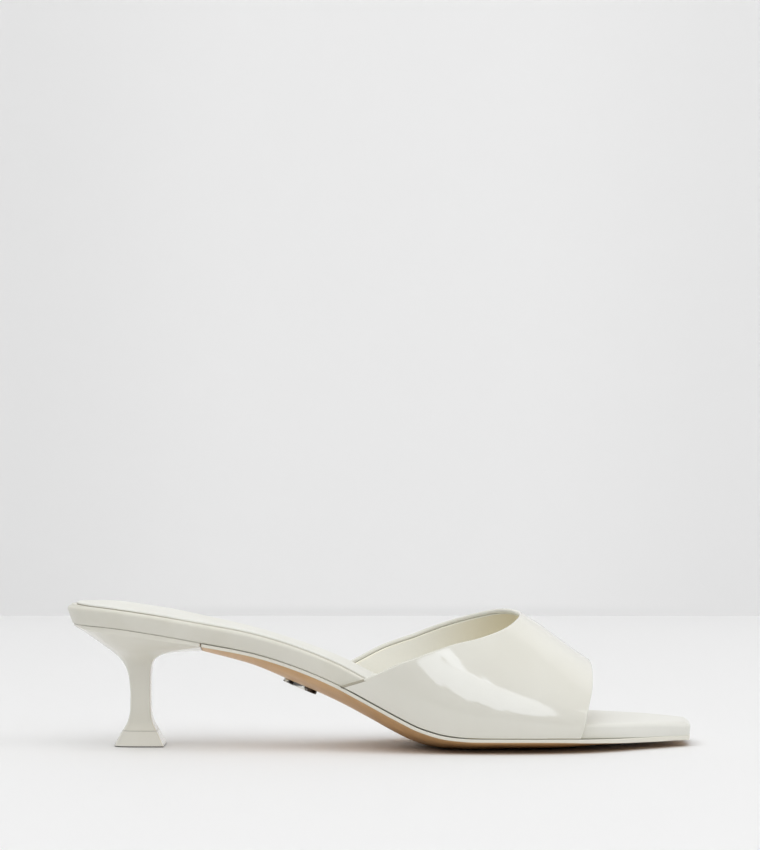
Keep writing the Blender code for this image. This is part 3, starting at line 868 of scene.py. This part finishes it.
# %% [markdown]
# The painted edge runs once round the sole, from one corner of the heel's breast to the other. What
# follows a path suits Geometry Nodes: the path is a chain of points, and the tree sweeps a small
# rounded profile along it. The profile's height, thickness and corner are named inputs of the tree,
# and each point of the path carries a scale, so that the band can swell on its way round.

# %% Tree that sweeps a rounded profile along a path
SWEEP_INPUTS = (("Height", 0.0014), ("Thickness", 0.0004), ("Corner", 0.00015))
SCALE_ATTRIBUTE = "profile_scale"
CORNER_POINTS = 4


def sweep_tree(material):
    tree = bpy.data.node_groups.new("sweep_" + material.name, "GeometryNodeTree")
    tree.interface.new_socket("Path", in_out="INPUT", socket_type="NodeSocketGeometry")
    for name, value in SWEEP_INPUTS:
        socket = tree.interface.new_socket(name, in_out="INPUT", socket_type="NodeSocketFloat")
        socket.default_value = value
    tree.interface.new_socket("Swept", in_out="OUTPUT", socket_type="NodeSocketGeometry")
    inputs = tree.nodes.new("NodeGroupInput").outputs
    line = add_node(tree, "GeometryNodeMeshToCurve", Mesh=inputs["Path"])
    upright = add_node(tree, "GeometryNodeSetCurveNormal", [("mode", "Z_UP")],
                       Curve=line.outputs["Curve"])
    profile = add_node(tree, "GeometryNodeCurvePrimitiveQuadrilateral", Height=inputs["Height"],
                       Width=inputs["Thickness"])
    rounded = add_node(tree, "GeometryNodeFilletCurve", [("mode", "POLY")],
                       Curve=profile.outputs["Curve"], Radius=inputs["Corner"], Count=CORNER_POINTS)
    scale = add_node(tree, "GeometryNodeInputNamedAttribute", Name=SCALE_ATTRIBUTE)
    swept = add_node(tree, "GeometryNodeCurveToMesh", Curve=upright.outputs["Curve"],
                     Profile_Curve=rounded.outputs["Curve"], Scale=scale.outputs["Attribute"],
                     Fill_Caps=True)
    smoothed = add_node(tree, "GeometryNodeSetShadeSmooth", Geometry=swept.outputs["Mesh"])
    realized = add_node(tree, "GeometryNodeRealizeInstances", Geometry=smoothed.outputs["Geometry"])
    painted = add_node(tree, "GeometryNodeSetMaterial", Geometry=realized.outputs["Geometry"],
                       Material=material)
    add_node(tree, "NodeGroupOutput", Swept=painted.outputs["Geometry"])
    return tree


def sweep(name, path, scales, material, **sizes):
    """Sweeps the profile along a chain of points and returns the result as a plain mesh."""
    count = len(path)
    edges = [(i, i + 1) for i in range(count - 1)]
    data = bpy.data.meshes.new(name + "_path")
    data.from_pydata((np.asarray(path) + ORIGIN).tolist(), edges, [])
    data.attributes.new(SCALE_ATTRIBUTE, "FLOAT", "POINT").data.foreach_set("value", scales)
    guide = put(name + "_path", data)
    tree = sweep_tree(material)
    modifier = guide.modifiers.new("sweep", "NODES")
    modifier.node_group = tree
    for socket in tree.interface.items_tree:
        if socket.item_type == "SOCKET" and socket.in_out == "INPUT" and socket.name in sizes:
            modifier[socket.identifier] = sizes[socket.name]
    evaluated = guide.evaluated_get(bpy.context.evaluated_depsgraph_get())
    mesh = bpy.data.meshes.new_from_object(evaluated)
    mesh.name = name
    bpy.data.objects.remove(guide)
    shade(mesh, sharp_degrees=50, merge_below=1e-7)
    print(name, "sweeps", count, "points into", len(mesh.polygons), "faces")
    return put(name, mesh)


print("inputs of the sweep:", ", ".join(name for name, _ in SWEEP_INPUTS))

# %% [markdown]
# The path of the paint follows the sole's edge, a hair below the feather line. At the waist that hair
# is wide enough to show as a dark line, and in front of the ball the paint closes up to the upper. The
# band is also thicker round the toe, where the sole is left full to take the wear.

# %% Painted edge of the sole
PAINT_HEIGHT = 0.00125
TOE_PAINT = 1.48
TOE_PAINT_GROWS = (0.74, 0.92)
WAIST_REVEAL = 0.00034
BALL_REVEAL = 0.00003
REVEAL_FADES = (0.58, 0.68)


def sole_edge_path(inset_more):
    """The middle line of the painted band, and the band's scale at each of its points."""
    ring = outline_ring(lambda x: sole_inset(x) + inset_more, start=BREAST + GAP)
    plan = ring[:1 - ACROSS_STEPS]
    share = plan[:, 0] / LENGTH
    reveal = mix(WAIST_REVEAL, BALL_REVEAL, smooth(*REVEAL_FADES, share))
    scales = mix(1.0, TOE_PAINT, smooth(*TOE_PAINT_GROWS, share))
    middle = feather_height(plan[:, 0]) - reveal - scales * PAINT_HEIGHT / 2
    return np.column_stack((plan, middle)), scales


sole_paint = sweep("sole_edge_paint", *sole_edge_path(PAINT_THICKNESS), edge_paint,
                   Height=PAINT_HEIGHT, Thickness=2 * PAINT_THICKNESS,
                   Corner=0.8 * PAINT_THICKNESS)
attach(sole_paint, "root")

# %% [markdown]
# The heel is moulded plastic, lacquered in the colour of the leather. It starts as the shape of the
# seat, shrinks into a slender stem with a flat breast in front and a rounded back, and flares again
# into the foot that the top piece covers. A loft through a dozen plans gives that form. Each column
# of the table becomes a smooth function, so the loft can have as many rings as gloss needs.

# %% Heel plans
HEEL_TUCK = 0.0003
STEM_CENTRE = 0.0292
STEM_DEPTH = 0.0082
STEM_WIDTH = 0.0090
STEM_CORNER = 5
BREAST_CORNER = 0.0006
TOP_PIECE_HEIGHT = 0.0062
FOOT_DEPTH = 0.0201
FOOT_WIDTH = 0.0180
FOOT_BEHIND = 0.0004
HEEL_FOOT_SPREAD = 0.47
TOP_PIECE_SPREAD = 0.50
HEEL_STEPS = 60
HEEL_RINGS = 130

Section = namedtuple("Section", "foot back front side back_height front_height")
HEEL = [
    Section(HEEL_FOOT_SPREAD, 0.000, 0.000, 0.000, 0.000, 0.000),
    Section(0.16, 0.000, 0.000, 0.000, 0.082, 0.113),
    Section(0.02, 0.000, 0.000, 0.000, 0.189, 0.257),
    Section(0.00, 0.000, 0.000, 0.000, 0.318, 0.432),
    Section(0.00, 0.018, 0.000, 0.012, 0.460, 0.624),
    Section(0.00, 0.058, 0.010, 0.065, 0.562, 0.767),
    Section(0.00, 0.124, 0.043, 0.160, 0.632, 0.853),
    Section(0.00, 0.230, 0.125, 0.320, 0.698, 0.917),
    Section(0.00, 0.336, 0.260, 0.500, 0.745, 0.959),
    Section(0.00, 0.460, 0.460, 0.680, 0.792, 0.981),
    Section(0.00, 0.637, 0.740, 0.850, 0.858, 0.994),
    Section(0.00, 0.814, 0.940, 0.945, 0.925, 0.997),
    Section(0.00, 0.990, 1.000, 0.990, 0.982, 1.000),
]


def seat_inset(x):
    return tuck(x) + HEEL_TUCK


def heel_plan(foot, back, front, side, shrink=0.0):
    """A section's plan, spread from the stem towards the top piece's foot or the seat."""
    seat_back = seat_inset(0.0)
    stem_half = mix(STEM_WIDTH, FOOT_WIDTH, foot) / 2
    depth = mix(STEM_DEPTH, FOOT_DEPTH, foot)
    centre = STEM_CENTRE - foot * FOOT_BEHIND
    first = mix(centre - depth / 2, seat_back, back) + shrink
    last = mix(centre + depth / 2, BREAST, front) - shrink

    def half(x, which):
        share = (x - first) / (last - first)
        left = np.clip(1 - share - END_CHORD, 0, 1)
        stem = stem_half * (1 - left ** STEM_CORNER) ** (1 / STEM_CORNER)
        on_seat = mix(seat_back, BREAST, share)
        seat = half_width(on_seat, which, seat_inset(on_seat))
        corner = BREAST_CORNER * (1 - round_end(last - x, BREAST_CORNER))
        return mix(stem, seat, side) - corner - shrink

    return ring_of(mix(first, last, eased(HEEL_STEPS)), half)


for label, foot in (("stem", 0), ("foot", 1)):
    size = np.ptp(heel_plan(foot, 0, 0, 0), axis=0) / MM
    print("heel", label, "is", size.round(1), "mm in plan")

# %% [markdown]
# The plans are stacked from the foot of the heel up to the seat. Each ring leans with the heights of
# its back and front, so the rings fan out from the level foot to the sloping seat. The first and the
# last few rings turn the edges over by a fraction of a millimetre, which catches a thin line of light.

# %% Heel
HEEL_EDGE_ROUND = 0.00015
HEEL_SEAM = 0.0001


def heel_column(name):
    return curve_through(np.linspace(0, 1, len(HEEL)), [getattr(row, name) for row in HEEL])


def heel_mesh():
    foot_height = TOP_PIECE_HEIGHT + HEEL_SEAM
    breast_belly = SOLE_BELLY * belly_share(BREAST / LENGTH)
    breast_height = feather_height(BREAST) - SOLE_EDGE - breast_belly
    columns = {name: heel_column(name) for name in Section._fields}
    loops = [raised(heel_plan(HEEL_FOOT_SPREAD, 0, 0, 0, shrink), flat(foot_height + lift))
             for shrink, lift in turned_edge(HEEL_EDGE_ROUND)[:-1]]
    for at in np.linspace(0, 1, HEEL_RINGS)[2:]:
        row = {name: float(columns[name](at)) for name in Section._fields}
        plan = heel_plan(row["foot"], row["back"], row["front"], row["side"])
        x, y = plan[:, 0], plan[:, 1]
        back = mix(foot_height, SEAT_HEIGHT, row["back_height"])
        front = mix(foot_height, breast_height, row["front_height"])
        front = front + row["front"] * breast_belly * (y / np.abs(y).max()) ** 2
        share = (x - x.min()) / (x.max() - x.min())
        loops.append(np.column_stack((plan, mix(back, front, share))))
    for drop, shrink in turned_edge(HEEL_EDGE_ROUND):
        loops.append(raised(heel_plan(0, 1, 1, 1, shrink),
                            lambda x, y: underside(x, y) - HEEL_SEAM - drop))
    return stacked(loops, flat(foot_height), lambda x, y: underside(x, y) - HEEL_SEAM, HEEL_STEPS)


heel = make_piece("heel_shell", *heel_mesh(), heel_paint, 35)
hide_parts("heel")
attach(heel, "root")
print("heel_shell has", len(heel.data.polygons), "faces")

# %% [markdown]
# The top piece is the small tread nailed under the heel, the only part of the back of the shoe that
# meets the floor. It carries the heel's flare on down, with its own crisp edges and a hairline seam
# between the two.

# %% Top piece
TIP_ROUND = 0.00012
TREAD_ROUND = 0.0004
CONTACT_SHADE_BANDS = 4


def top_piece_mesh():
    loops = [raised(heel_plan(1, 0, 0, 0, shrink), flat(lift))
             for shrink, lift in turned_edge(TREAD_ROUND)]
    for share in np.linspace(0, 1, 12)[1:]:
        height = mix(TREAD_ROUND, TOP_PIECE_HEIGHT - TIP_ROUND, share)
        loops.append(raised(heel_plan(mix(1, TOP_PIECE_SPREAD, share), 0, 0, 0), flat(height)))
    for drop, shrink in turned_edge(TIP_ROUND)[1:]:
        plan = heel_plan(TOP_PIECE_SPREAD, 0, 0, 0, shrink)
        loops.append(raised(plan, flat(TOP_PIECE_HEIGHT - drop)))
    return stacked(loops, flat(0.0), flat(TOP_PIECE_HEIGHT), HEEL_STEPS)


tip = make_piece("top_piece_tread", *top_piece_mesh(), tip_rubber, 35)
# The lowest bands are painted near black: painted shade where the tip meets the floor.
paint(tip, contact_shade, range(CONTACT_SHADE_BANDS * 2 * (HEEL_STEPS + ACROSS_STEPS)))
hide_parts("top_piece")
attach(tip, "root")
print("top_piece_tread has", len(tip.data.polygons), "faces")

# %% [markdown]
# The upper is one broad band over the ball of the foot. Its form is an arch at every station: low and
# upright at the feather line, rounding over to the instep. Two edges cut it, the topline behind and
# the toe opening in front, each given as a share of the length for every place around the arch.

# %% Form of the upper
INSTEP_HEIGHT = 0.0533
RIDGE_OFFSET = 0.0060
UPPER_BULGE = 0.0012
BULGE_REACH = 1 / 3
BULGE_TO_PEAK = 1.54
SIDES_BLEND = (0.3, 0.7)
SHARE_STEP = 0.004

Crown = namedtuple("Crown", "along height")
CROWN = [
    Crown(0.380, 1.980),
    Crown(0.520, 1.620),
    Crown(0.600, 1.400),
    Crown(0.680, 1.135),
    Crown(0.726, 1.000),
    Crown(0.758, 0.908),
    Crown(0.790, 0.797),
    Crown(0.820, 0.695),
    Crown(0.850, 0.605),
]
Edges = namedtuple("Edges", "around rear front")
EDGES = [
    Edges(0.000, 0.4385, 0.8170),
    Edges(0.036, 0.4770, 0.8220),
    Edges(0.098, 0.5320, 0.8270),
    Edges(0.179, 0.6100, 0.8340),
    Edges(0.231, 0.6570, 0.8378),
    Edges(0.292, 0.6925, 0.8402),
    Edges(0.340, 0.7095, 0.8411),
    Edges(0.389, 0.7200, 0.8415),
    Edges(0.440, 0.7260, 0.8414),
    Edges(0.500, 0.7278, 0.8408),
    Edges(0.550, 0.7190, 0.8403),
    Edges(0.592, 0.7068, 0.8398),
    Edges(0.643, 0.6895, 0.8390),
    Edges(0.702, 0.6637, 0.8370),
    Edges(0.759, 0.6300, 0.8345),
    Edges(0.837, 0.5660, 0.8300),
    Edges(0.906, 0.5010, 0.8250),
    Edges(0.963, 0.4520, 0.8210),
    Edges(1.000, 0.4150, 0.8170),
]
crown_share = curve(CROWN, lambda row: row.height)
rear_share = curve(EDGES, lambda row: row.rear, "around")
front_share = curve(EDGES, lambda row: row.front, "around")


def side_reach(x, side):
    """How far the foot of the upper's outer face lies from the ridge line."""
    lean = slope(lambda at: half_width(at, side), x, SLOPE_STEP)
    return half_width(x, side) + (GAP + WALL) * np.hypot(1, lean) - side * RIDGE_OFFSET


def last_point(x, around):
    """Points of the upper's outer face: an arch over the last at stations x."""
    angle = math.pi * around
    reach = mix(side_reach(x, LATERAL), side_reach(x, MEDIAL), smooth(*SIDES_BLEND, around))
    turn = np.minimum(math.pi, np.minimum(angle, math.pi - angle) / BULGE_REACH)
    bulge = UPPER_BULGE * BULGE_TO_PEAK * np.sin(turn) * (1 + np.cos(turn)) / 2
    side = np.where(around < 0.5, -1.0, 1.0)
    y = RIDGE_OFFSET - reach * np.cos(angle) + side * bulge
    z = mix(feather_height(x), INSTEP_HEIGHT * crown_share(x / LENGTH), np.sin(angle))
    return np.stack((x, y, z), -1)


def upper_point(around, along):
    """Points of the outer face, from the rear edge (along 0) to the front edge (along 1)."""
    return last_point(LENGTH * mix(rear_share(around), front_share(around), along), around)


def unit(vectors):
    return vectors / np.linalg.norm(vectors, axis=-1, keepdims=True)


def upper_directions(around, along):
    """Per point: along the arch, forward on the surface, and inward through the wall."""
    over = upper_point(np.minimum(1, around + SHARE_STEP), along)
    over = unit(over - upper_point(np.maximum(0, around - SHARE_STEP), along))
    forward = unit(slope(lambda at: upper_point(around, at), along, SHARE_STEP))
    return over, forward, unit(np.cross(over, forward))


probe = upper_point(np.array([0.5]), np.array([0.0]))[0]
print("the throat is", round(probe[2] / MM, 1), "mm above the floor and",
      round(probe[0] / MM), "mm from the heel")

# %% [markdown]
# Patent leather that has been pulled over a last is never perfectly even: it keeps soft troughs where
# it was stretched and ridges where it gave. The main ones are listed one by one, each with a middle, a
# direction, a length, a width and a depth. They are only a few tenths of a millimetre, which is
# plenty to bend the reflection of a softbox.

# %% Soft creases of the vamp
Crease = namedtuple("Crease", "around along turn length width depth")
CREASES = [
    Crease(0.120, 0.16, -40, 0.016, 0.0050, 0.00004),
    Crease(0.112, 0.46, -18, 0.030, 0.0040, 0.00006),
    Crease(0.097, 0.58, -12, 0.034, 0.0050, -0.00006),
    Crease(0.300, 0.40, -60, 0.040, 0.0120, 0.00006),
    Crease(0.620, 0.35, -100, 0.030, 0.0090, 0.00010),
    Crease(0.800, 0.30, -130, 0.024, 0.0060, 0.00012),
    Crease(0.840, 0.60, -165, 0.028, 0.0060, -0.00008),
]


def crease_depth(points):
    """How far each point of the outer face sinks (positive) or rises."""
    sunk = np.zeros(points.shape[:-1])
    for crease in CREASES:
        around, along = np.array([crease.around]), np.array([crease.along])
        middle = upper_point(around, along)[0]
        over, forward, _ = (direction[0] for direction in upper_directions(around, along))
        turn = math.radians(crease.turn)
        run = math.cos(turn) * forward + math.sin(turn) * over
        side = math.cos(turn) * over - math.sin(turn) * forward
        away = points - middle
        lengthwise = (away @ run) / (crease.length / 2)
        sideways = (away @ side) / (crease.width / 2)
        sunk += crease.depth * np.exp(-lengthwise ** 2 - sideways ** 2)
    return sunk


print(len(CREASES), "creases, the deepest", max(crease.depth for crease in CREASES) / MM, "mm")

# %% [markdown]
# The wall is two skins. The patent outer is folded over a cord of its own thickness at both edges,
# which gives the topline its soft bright roll, and the lining is trimmed just below the fold, set in
# by a hair. A closed cross-section of that build is swept from one feather line over the instep to
# the other: outer face forward, round the front fold, back along the hidden side and round the rear.

# %% Cross-sections of the two skins
FOLD = WALL / 2
FOLD_CURL = 0.0007
CURL_DEPTH = 0.00065
SKIN = 0.0010
LINING_BACK = 0.00105
LINING_DROP = 0.00165
LINING_ROUND = 0.00035
FEATHER_ROUND = 0.0006
BALL_FEATHER_ROUND = 0.00025
AROUND_STEPS = 340
ALONG_STEPS = 110
FOLD_STEPS = 9
HIDDEN_TAIL = 0.0004
EDGE_STEP = 0.003

arc = np.linspace(0, math.pi / 2, FOLD_STEPS)
FOLD_PROFILE = [(FOLD - FOLD * math.sin(a), FOLD - FOLD * math.cos(a)) for a in arc]
FOLD_PROFILE += [(FOLD - FOLD * math.cos(a), FOLD + FOLD * math.sin(a)) for a in arc[1:]]
FOLD_PROFILE += [(FOLD + FOLD_CURL * math.sin(a), WALL - CURL_DEPTH * (1 - math.cos(a)))
                 for a in arc[1:]]
FOLD_PROFILE += [(FOLD + FOLD_CURL + HIDDEN_TAIL, SKIN)]
LINING_PROFILE = [(LINING_DROP + HIDDEN_TAIL, LINING_BACK),
                  (LINING_DROP + LINING_ROUND, LINING_BACK)]
LINING_PROFILE += [(LINING_DROP + LINING_ROUND * (1 - math.sin(a)),
                    WALL - LINING_ROUND - (WALL - LINING_ROUND - LINING_BACK) * math.cos(a))
                   for a in arc]
LINING_PROFILE += [(LINING_DROP + LINING_ROUND * (1 - math.cos(a)),
                    WALL - LINING_ROUND * (1 - math.sin(a))) for a in arc[1:]]


def edge_frame(around, front):
    """The cut line of an edge, the way out of the surface across it, and the way inward."""
    along = np.full_like(around, 1.0 if front else 0.0)
    line = upper_point(around, along)
    after = upper_point(np.minimum(1, around + EDGE_STEP), along)
    run = unit(after - upper_point(np.maximum(0, around - EDGE_STEP), along))
    _, _, inward = upper_directions(around, along)
    out = unit(np.cross(run, inward))
    return line, -out if front else out, inward


print("fold profile", len(FOLD_PROFILE), "points, lining profile", len(LINING_PROFILE), "points")

# %% [markdown]
# Now the sections are swept. Both skins follow the same surface, only at other depths, so the lining
# can never poke through the patent. At its foot the outer face turns in under itself where it is
# lasted, widely at the waist and tightly over the ball. From the ball forward the last sliver of its
# foot is coloured light brown above the painted edge, and on the outer side the foot of the rear fold
# is painted dark as painted shade in the crevice under the footbed.

# %% Sweep the skins over the last
AROUND_EASING = 0.7
ALONG_EASING = 0.5
STEEPEST_CUT = 0.15
CREASE_FADES = 0.06
THINNEST = 0.0001
SHADED_FOOT_ENDS = 0.034
FOOT_LINE = 0.00030
FOOT_LINE_STARTS = 0.64


def along_shares(around, margin):
    """Shares along where a margin in metres inside each edge begins, for each place around."""
    length = np.linalg.norm(upper_point(around, np.ones_like(around))
                            - upper_point(around, np.zeros_like(around)), axis=1)
    slant = []
    for front in (False, True):
        _, out, _ = edge_frame(around, front)
        _, forward, _ = upper_directions(around, np.full_like(around, 1.0 if front else 0.0))
        slant.append(np.abs((out * forward).sum(1)).clip(STEEPEST_CUT))
    return margin / (length * slant[0]), 1 - margin / (length * slant[1])


def foot_round(points, depth):
    """Extra depth that turns the foot of the outer face in under itself."""
    height = points[..., 2] - feather_height(points[..., 0])
    radius = mix(FEATHER_ROUND, BALL_FEATHER_ROUND, smooth(*REVEAL_FADES, points[..., 0] / LENGTH))
    return np.maximum(depth, radius * (1 - round_end(height, radius)))


def skin_mesh(profile, margin, outer):
    """Closed sweep: one skin's loop of points for each place around the arch."""
    around = eased(AROUND_STEPS, AROUND_EASING)
    low, high = along_shares(around, margin)
    shares = eased(ALONG_STEPS, ALONG_EASING)
    along = mix(low[:, None], high[:, None], shares[None, :])
    grid_around = np.repeat(around[:, None], len(shares), 1)
    face = upper_point(grid_around, along)
    _, _, inward = upper_directions(grid_around, along)
    sunk = crease_depth(face)
    fade = smooth(0, CREASE_FADES, np.minimum(along - low[:, None], high[:, None] - along))
    if outer:
        near_depth = foot_round(face, sunk * fade)
        far_depth = np.maximum(SKIN, near_depth + THINNEST)
    else:
        near_depth = np.full_like(sunk, LINING_BACK)
        far_depth = np.full_like(sunk, WALL)
    near = face + inward * near_depth[..., None]
    far = face + inward * far_depth[..., None]
    folds = []
    for front in (True, False):
        line, out, into = edge_frame(around, front)
        rows = []
        for back_from_edge, depth in profile:
            point = line - out * back_from_edge
            deep = foot_round(point, depth)[:, None] if outer else depth
            rows.append(point + into * deep)
        folds.append(np.stack(rows, 1))
    front_fold, rear_fold = folds
    shared = 1 if outer else 0
    loops = np.concatenate((near, front_fold[:, shared:], far[:, ::-1],
                            rear_fold[:, shared:][:, ::-1]), 1)
    return loops.reshape(-1, 3), tube_faces(*loops.shape[:2], closed=True)


def swept_faces(piece, chosen):
    """Numbers of the faces whose row and column in the sweep are chosen."""
    size = len(piece.data.vertices) // (AROUND_STEPS + 1)
    numbers = np.arange(AROUND_STEPS * size)
    return numbers[chosen(numbers // size, numbers % size, size)]


def foot_faces(piece):
    """Numbers of the faces in the lowest sliver of the wall, from the ball forward."""
    centres = np.empty(3 * len(piece.data.polygons))
    piece.data.polygons.foreach_get("center", centres)
    centres = centres.reshape(-1, 3) - ORIGIN
    low = centres[:, 2] - feather_height(centres[:, 0]) < FOOT_LINE
    return np.flatnonzero(low & (centres[:, 0] > FOOT_LINE_STARTS * LENGTH))


vamp = make_piece("vamp_patent", *skin_mesh(FOLD_PROFILE, FOLD, True), patent)
# On the outer side the foot of the rear fold is painted dark: painted shade in the crevice under the
# footbed.
shaded_rows = np.searchsorted(eased(AROUND_STEPS, AROUND_EASING), SHADED_FOOT_ENDS)
paint(vamp, crevice_shade, swept_faces(
    vamp, lambda row, column, size: (row < shaded_rows) & (column >= size - FOLD_STEPS)))
paint(vamp, foot_line, foot_faces(vamp))
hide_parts("upper")
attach(vamp, "root")
vamp_lining = make_piece("vamp_lining", *skin_mesh(LINING_PROFILE, LINING_DROP + LINING_ROUND, False),
                         lining)
paint(vamp_lining, lining_edge, swept_faces(
    vamp_lining, lambda row, column, size: column % (size // 2) >= ALONG_STEPS))
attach(vamp_lining, "root")
print("vamp", len(vamp.data.polygons), "faces, lining", len(vamp_lining.data.polygons), "faces")

# %% [markdown]
# Under the waist sits a small metal plate, held by two prongs that don't show. It is a plain oval
# here, with a raised rim round a shallow dish. Rings of points lie square to the sole's curve, so the
# plate bends with the belly as a thin pressed plate does when it is hammered on.

# %% Plate under the waist
PLATE_CENTRE = 0.0932
PLATE_LENGTH = 0.0132
PLATE_WIDTH = 0.0086
PLATE_THICKNESS = 0.0012
PLATE_RIM = 0.0010
PLATE_ROUND = 0.00025
PLATE_DISH = 0.0004
PLATE_AROUND = 96


def below_sole(x, y, depth):
    """Points at a depth under the outsole, square to its underside."""
    step = 0.01 * PLATE_LENGTH
    along = slope(lambda at: ground(at, y), x, step)
    sideways = slope(lambda at: ground(x, at), y, step)
    down = unit(np.stack((along, sideways, -np.ones_like(x)), -1))
    return np.stack((x, y, ground(x, y)), -1) + down * depth


def plate_mesh():
    face = GAP + PLATE_THICKNESS
    levels = [(0.0, 0.0), (0.0, face - PLATE_ROUND)]
    levels += [(inset, face - lift) for lift, inset in turned_edge(PLATE_ROUND)[1:]]
    for turn in np.linspace(0, math.pi, 7):
        levels.append((PLATE_RIM + PLATE_DISH * turn / math.pi,
                       face - PLATE_DISH * (1 - math.cos(turn)) / 2))
    levels += [(mix(PLATE_RIM + PLATE_DISH, PLATE_WIDTH / 2, share), face - PLATE_DISH)
               for share in (0.25, 0.5, 0.75, 0.95)]
    angle = np.linspace(0, 2 * math.pi, PLATE_AROUND, endpoint=False)
    loops = []
    for inset, depth in levels:
        x = PLATE_CENTRE + (PLATE_LENGTH / 2 - inset) * np.cos(angle)
        loops.append(below_sole(x, (PLATE_WIDTH / 2 - inset) * np.sin(angle), depth))
    return np.concatenate(loops), tube_faces(len(levels), PLATE_AROUND, closed=True)


plate = make_piece("waist_plate", *plate_mesh(), plate_with_painted_reflections, 40)
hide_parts("badge")
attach(plate, "root")
print("waist_plate has", len(plate.data.polygons), "faces")

# %% [markdown]
# The studio is plain: a pale floor that meets a pale wall about nine tenths of a metre behind the
# shoe, with no other thing in sight. The wall's colour is painted a little darker to both sides, as
# light falling off there, and in a soft line at its foot, as painted shade in the corner. Both belong
# to the stage and not to the shoe.

# %% Floor and wall
WALL_BEHIND = 0.885
STUDIO_HALF_WIDTH = 3.0
STUDIO_HEIGHT = 3.0
FLOOR_FRONT = -3.0

floor_finish = new_finish("studio_floor", (0.820, 0.820, 0.820), 0.60, Specular_IOR_Level=0.25)
wall_painted_shade = new_finish("studio_wall", (0.930, 0.930, 0.930), 0.80, Specular_IOR_Level=0.1)
# Painted shade: darker to both sides where the light falls off, and in a soft line at the foot of the
# wall.
add_fade(wall_painted_shade, (0.875, 0.875, 0.875), 0.08, 0.26)
add_fade(wall_painted_shade, (0.875, 0.875, 0.875), -0.08, -0.26)
add_fade(wall_painted_shade, (0.880, 0.880, 0.880), 0.009, 0.002, "Z")


def stage_sheet(name, corners, finish):
    data = bpy.data.meshes.new(name)
    data.from_pydata(corners, [], [(0, 1, 2, 3)])
    data.materials.append(finish)
    sheet = put(name, data)
    sheet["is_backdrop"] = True


side = STUDIO_HALF_WIDTH
stage_sheet("studio_floor", [(-side, FLOOR_FRONT, 0), (side, FLOOR_FRONT, 0),
                             (side, WALL_BEHIND, 0), (-side, WALL_BEHIND, 0)], floor_finish)
stage_sheet("studio_wall", [(-side, WALL_BEHIND, 0), (side, WALL_BEHIND, 0),
                            (side, WALL_BEHIND, STUDIO_HEIGHT), (-side, WALL_BEHIND, STUDIO_HEIGHT)],
            wall_painted_shade)
print("the floor meets the wall", WALL_BEHIND, "m behind the shoe")

# %% [markdown]
# The light is a product photographer's: a very wide soft source overhead, leaning to the camera's
# side, and little from anywhere low, so that the shoe's contact with the floor stays dark. The patent
# leather mirrors two smaller boxes as the bright band along the shoulder of the vamp. They hardly
# light anything, so they are linked to that piece alone, and one small lamp opens up its lining.

# %% Lights
def softbox(name, place, aim, size, power):
    data = bpy.data.lights.new(name, "AREA")
    data.shape = "RECTANGLE"
    data.size, data.size_y = size
    data.energy = power
    light = put(name, data)
    light.location = place
    light.rotation_euler = (Vector(aim) - Vector(place)).to_track_quat("-Z", "Y").to_euler()
    return light


overhead = softbox("overhead", (-0.2, -1.2, 2.5), (0, -0.4, 0), (5.6, 4.6), 120)
overhead.visible_glossy = False
softbox("side_box", (1.9, -0.5, 0.75), (0, 0, 0.03), (1.2, 1.2), 7.5)
band_box = softbox("band_box", (0.43, -2.03, 0.85), (0.04, -0.03, 0.02), (1.72, 0.98), 13)
band_box.data.shape = "ELLIPSE"
lobe_box = softbox("lobe_box", (0.243, -1.727, 1.415), (0.035, -0.03, 0.03), (0.32, 0.40), 1.5)
only_vamp = bpy.data.collections.new("mirrors_the_boxes")
only_vamp.objects.link(vamp)
for box in (band_box, lobe_box):
    box.data.color = (0.92, 0.98, 1.10)
    box.visible_diffuse = False
    box.light_linking.receiver_collection = only_vamp

only_lining = bpy.data.collections.new("lit_by_lining_lamp")
only_lining.objects.link(vamp_lining)
lining_lamp = softbox("lining_lamp", (-0.35, -0.7, 0.85), (0.03, 0.0, 0.03), (0.5, 0.5), 3.8)
lining_lamp.light_linking.receiver_collection = only_lining

world = bpy.data.worlds.new("white_room")
world.use_nodes = True
background = world.node_tree.nodes["Background"]
background.inputs["Color"].default_value = (1, 1, 1, 1)
background.inputs["Strength"].default_value = 0.135
bpy.context.scene.world = world
bpy.context.scene.view_settings.view_transform = "Standard"
print(sum(thing.type == "LIGHT" for thing in bpy.data.objects), "lights in a white room")

# %% [markdown]
# Last of all, the two boxes are written down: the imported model's and the dressed one's. They have to
# agree, because this script dresses the shoe and never resizes it.

# %% Compare the boxes and finish
visual_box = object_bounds()
for label, (low, high) in (("CAD", CAD_BOX), ("visual", visual_box)):
    print(label, [round((b - a) / MM, 2) for a, b in zip(low, high)], "mm")
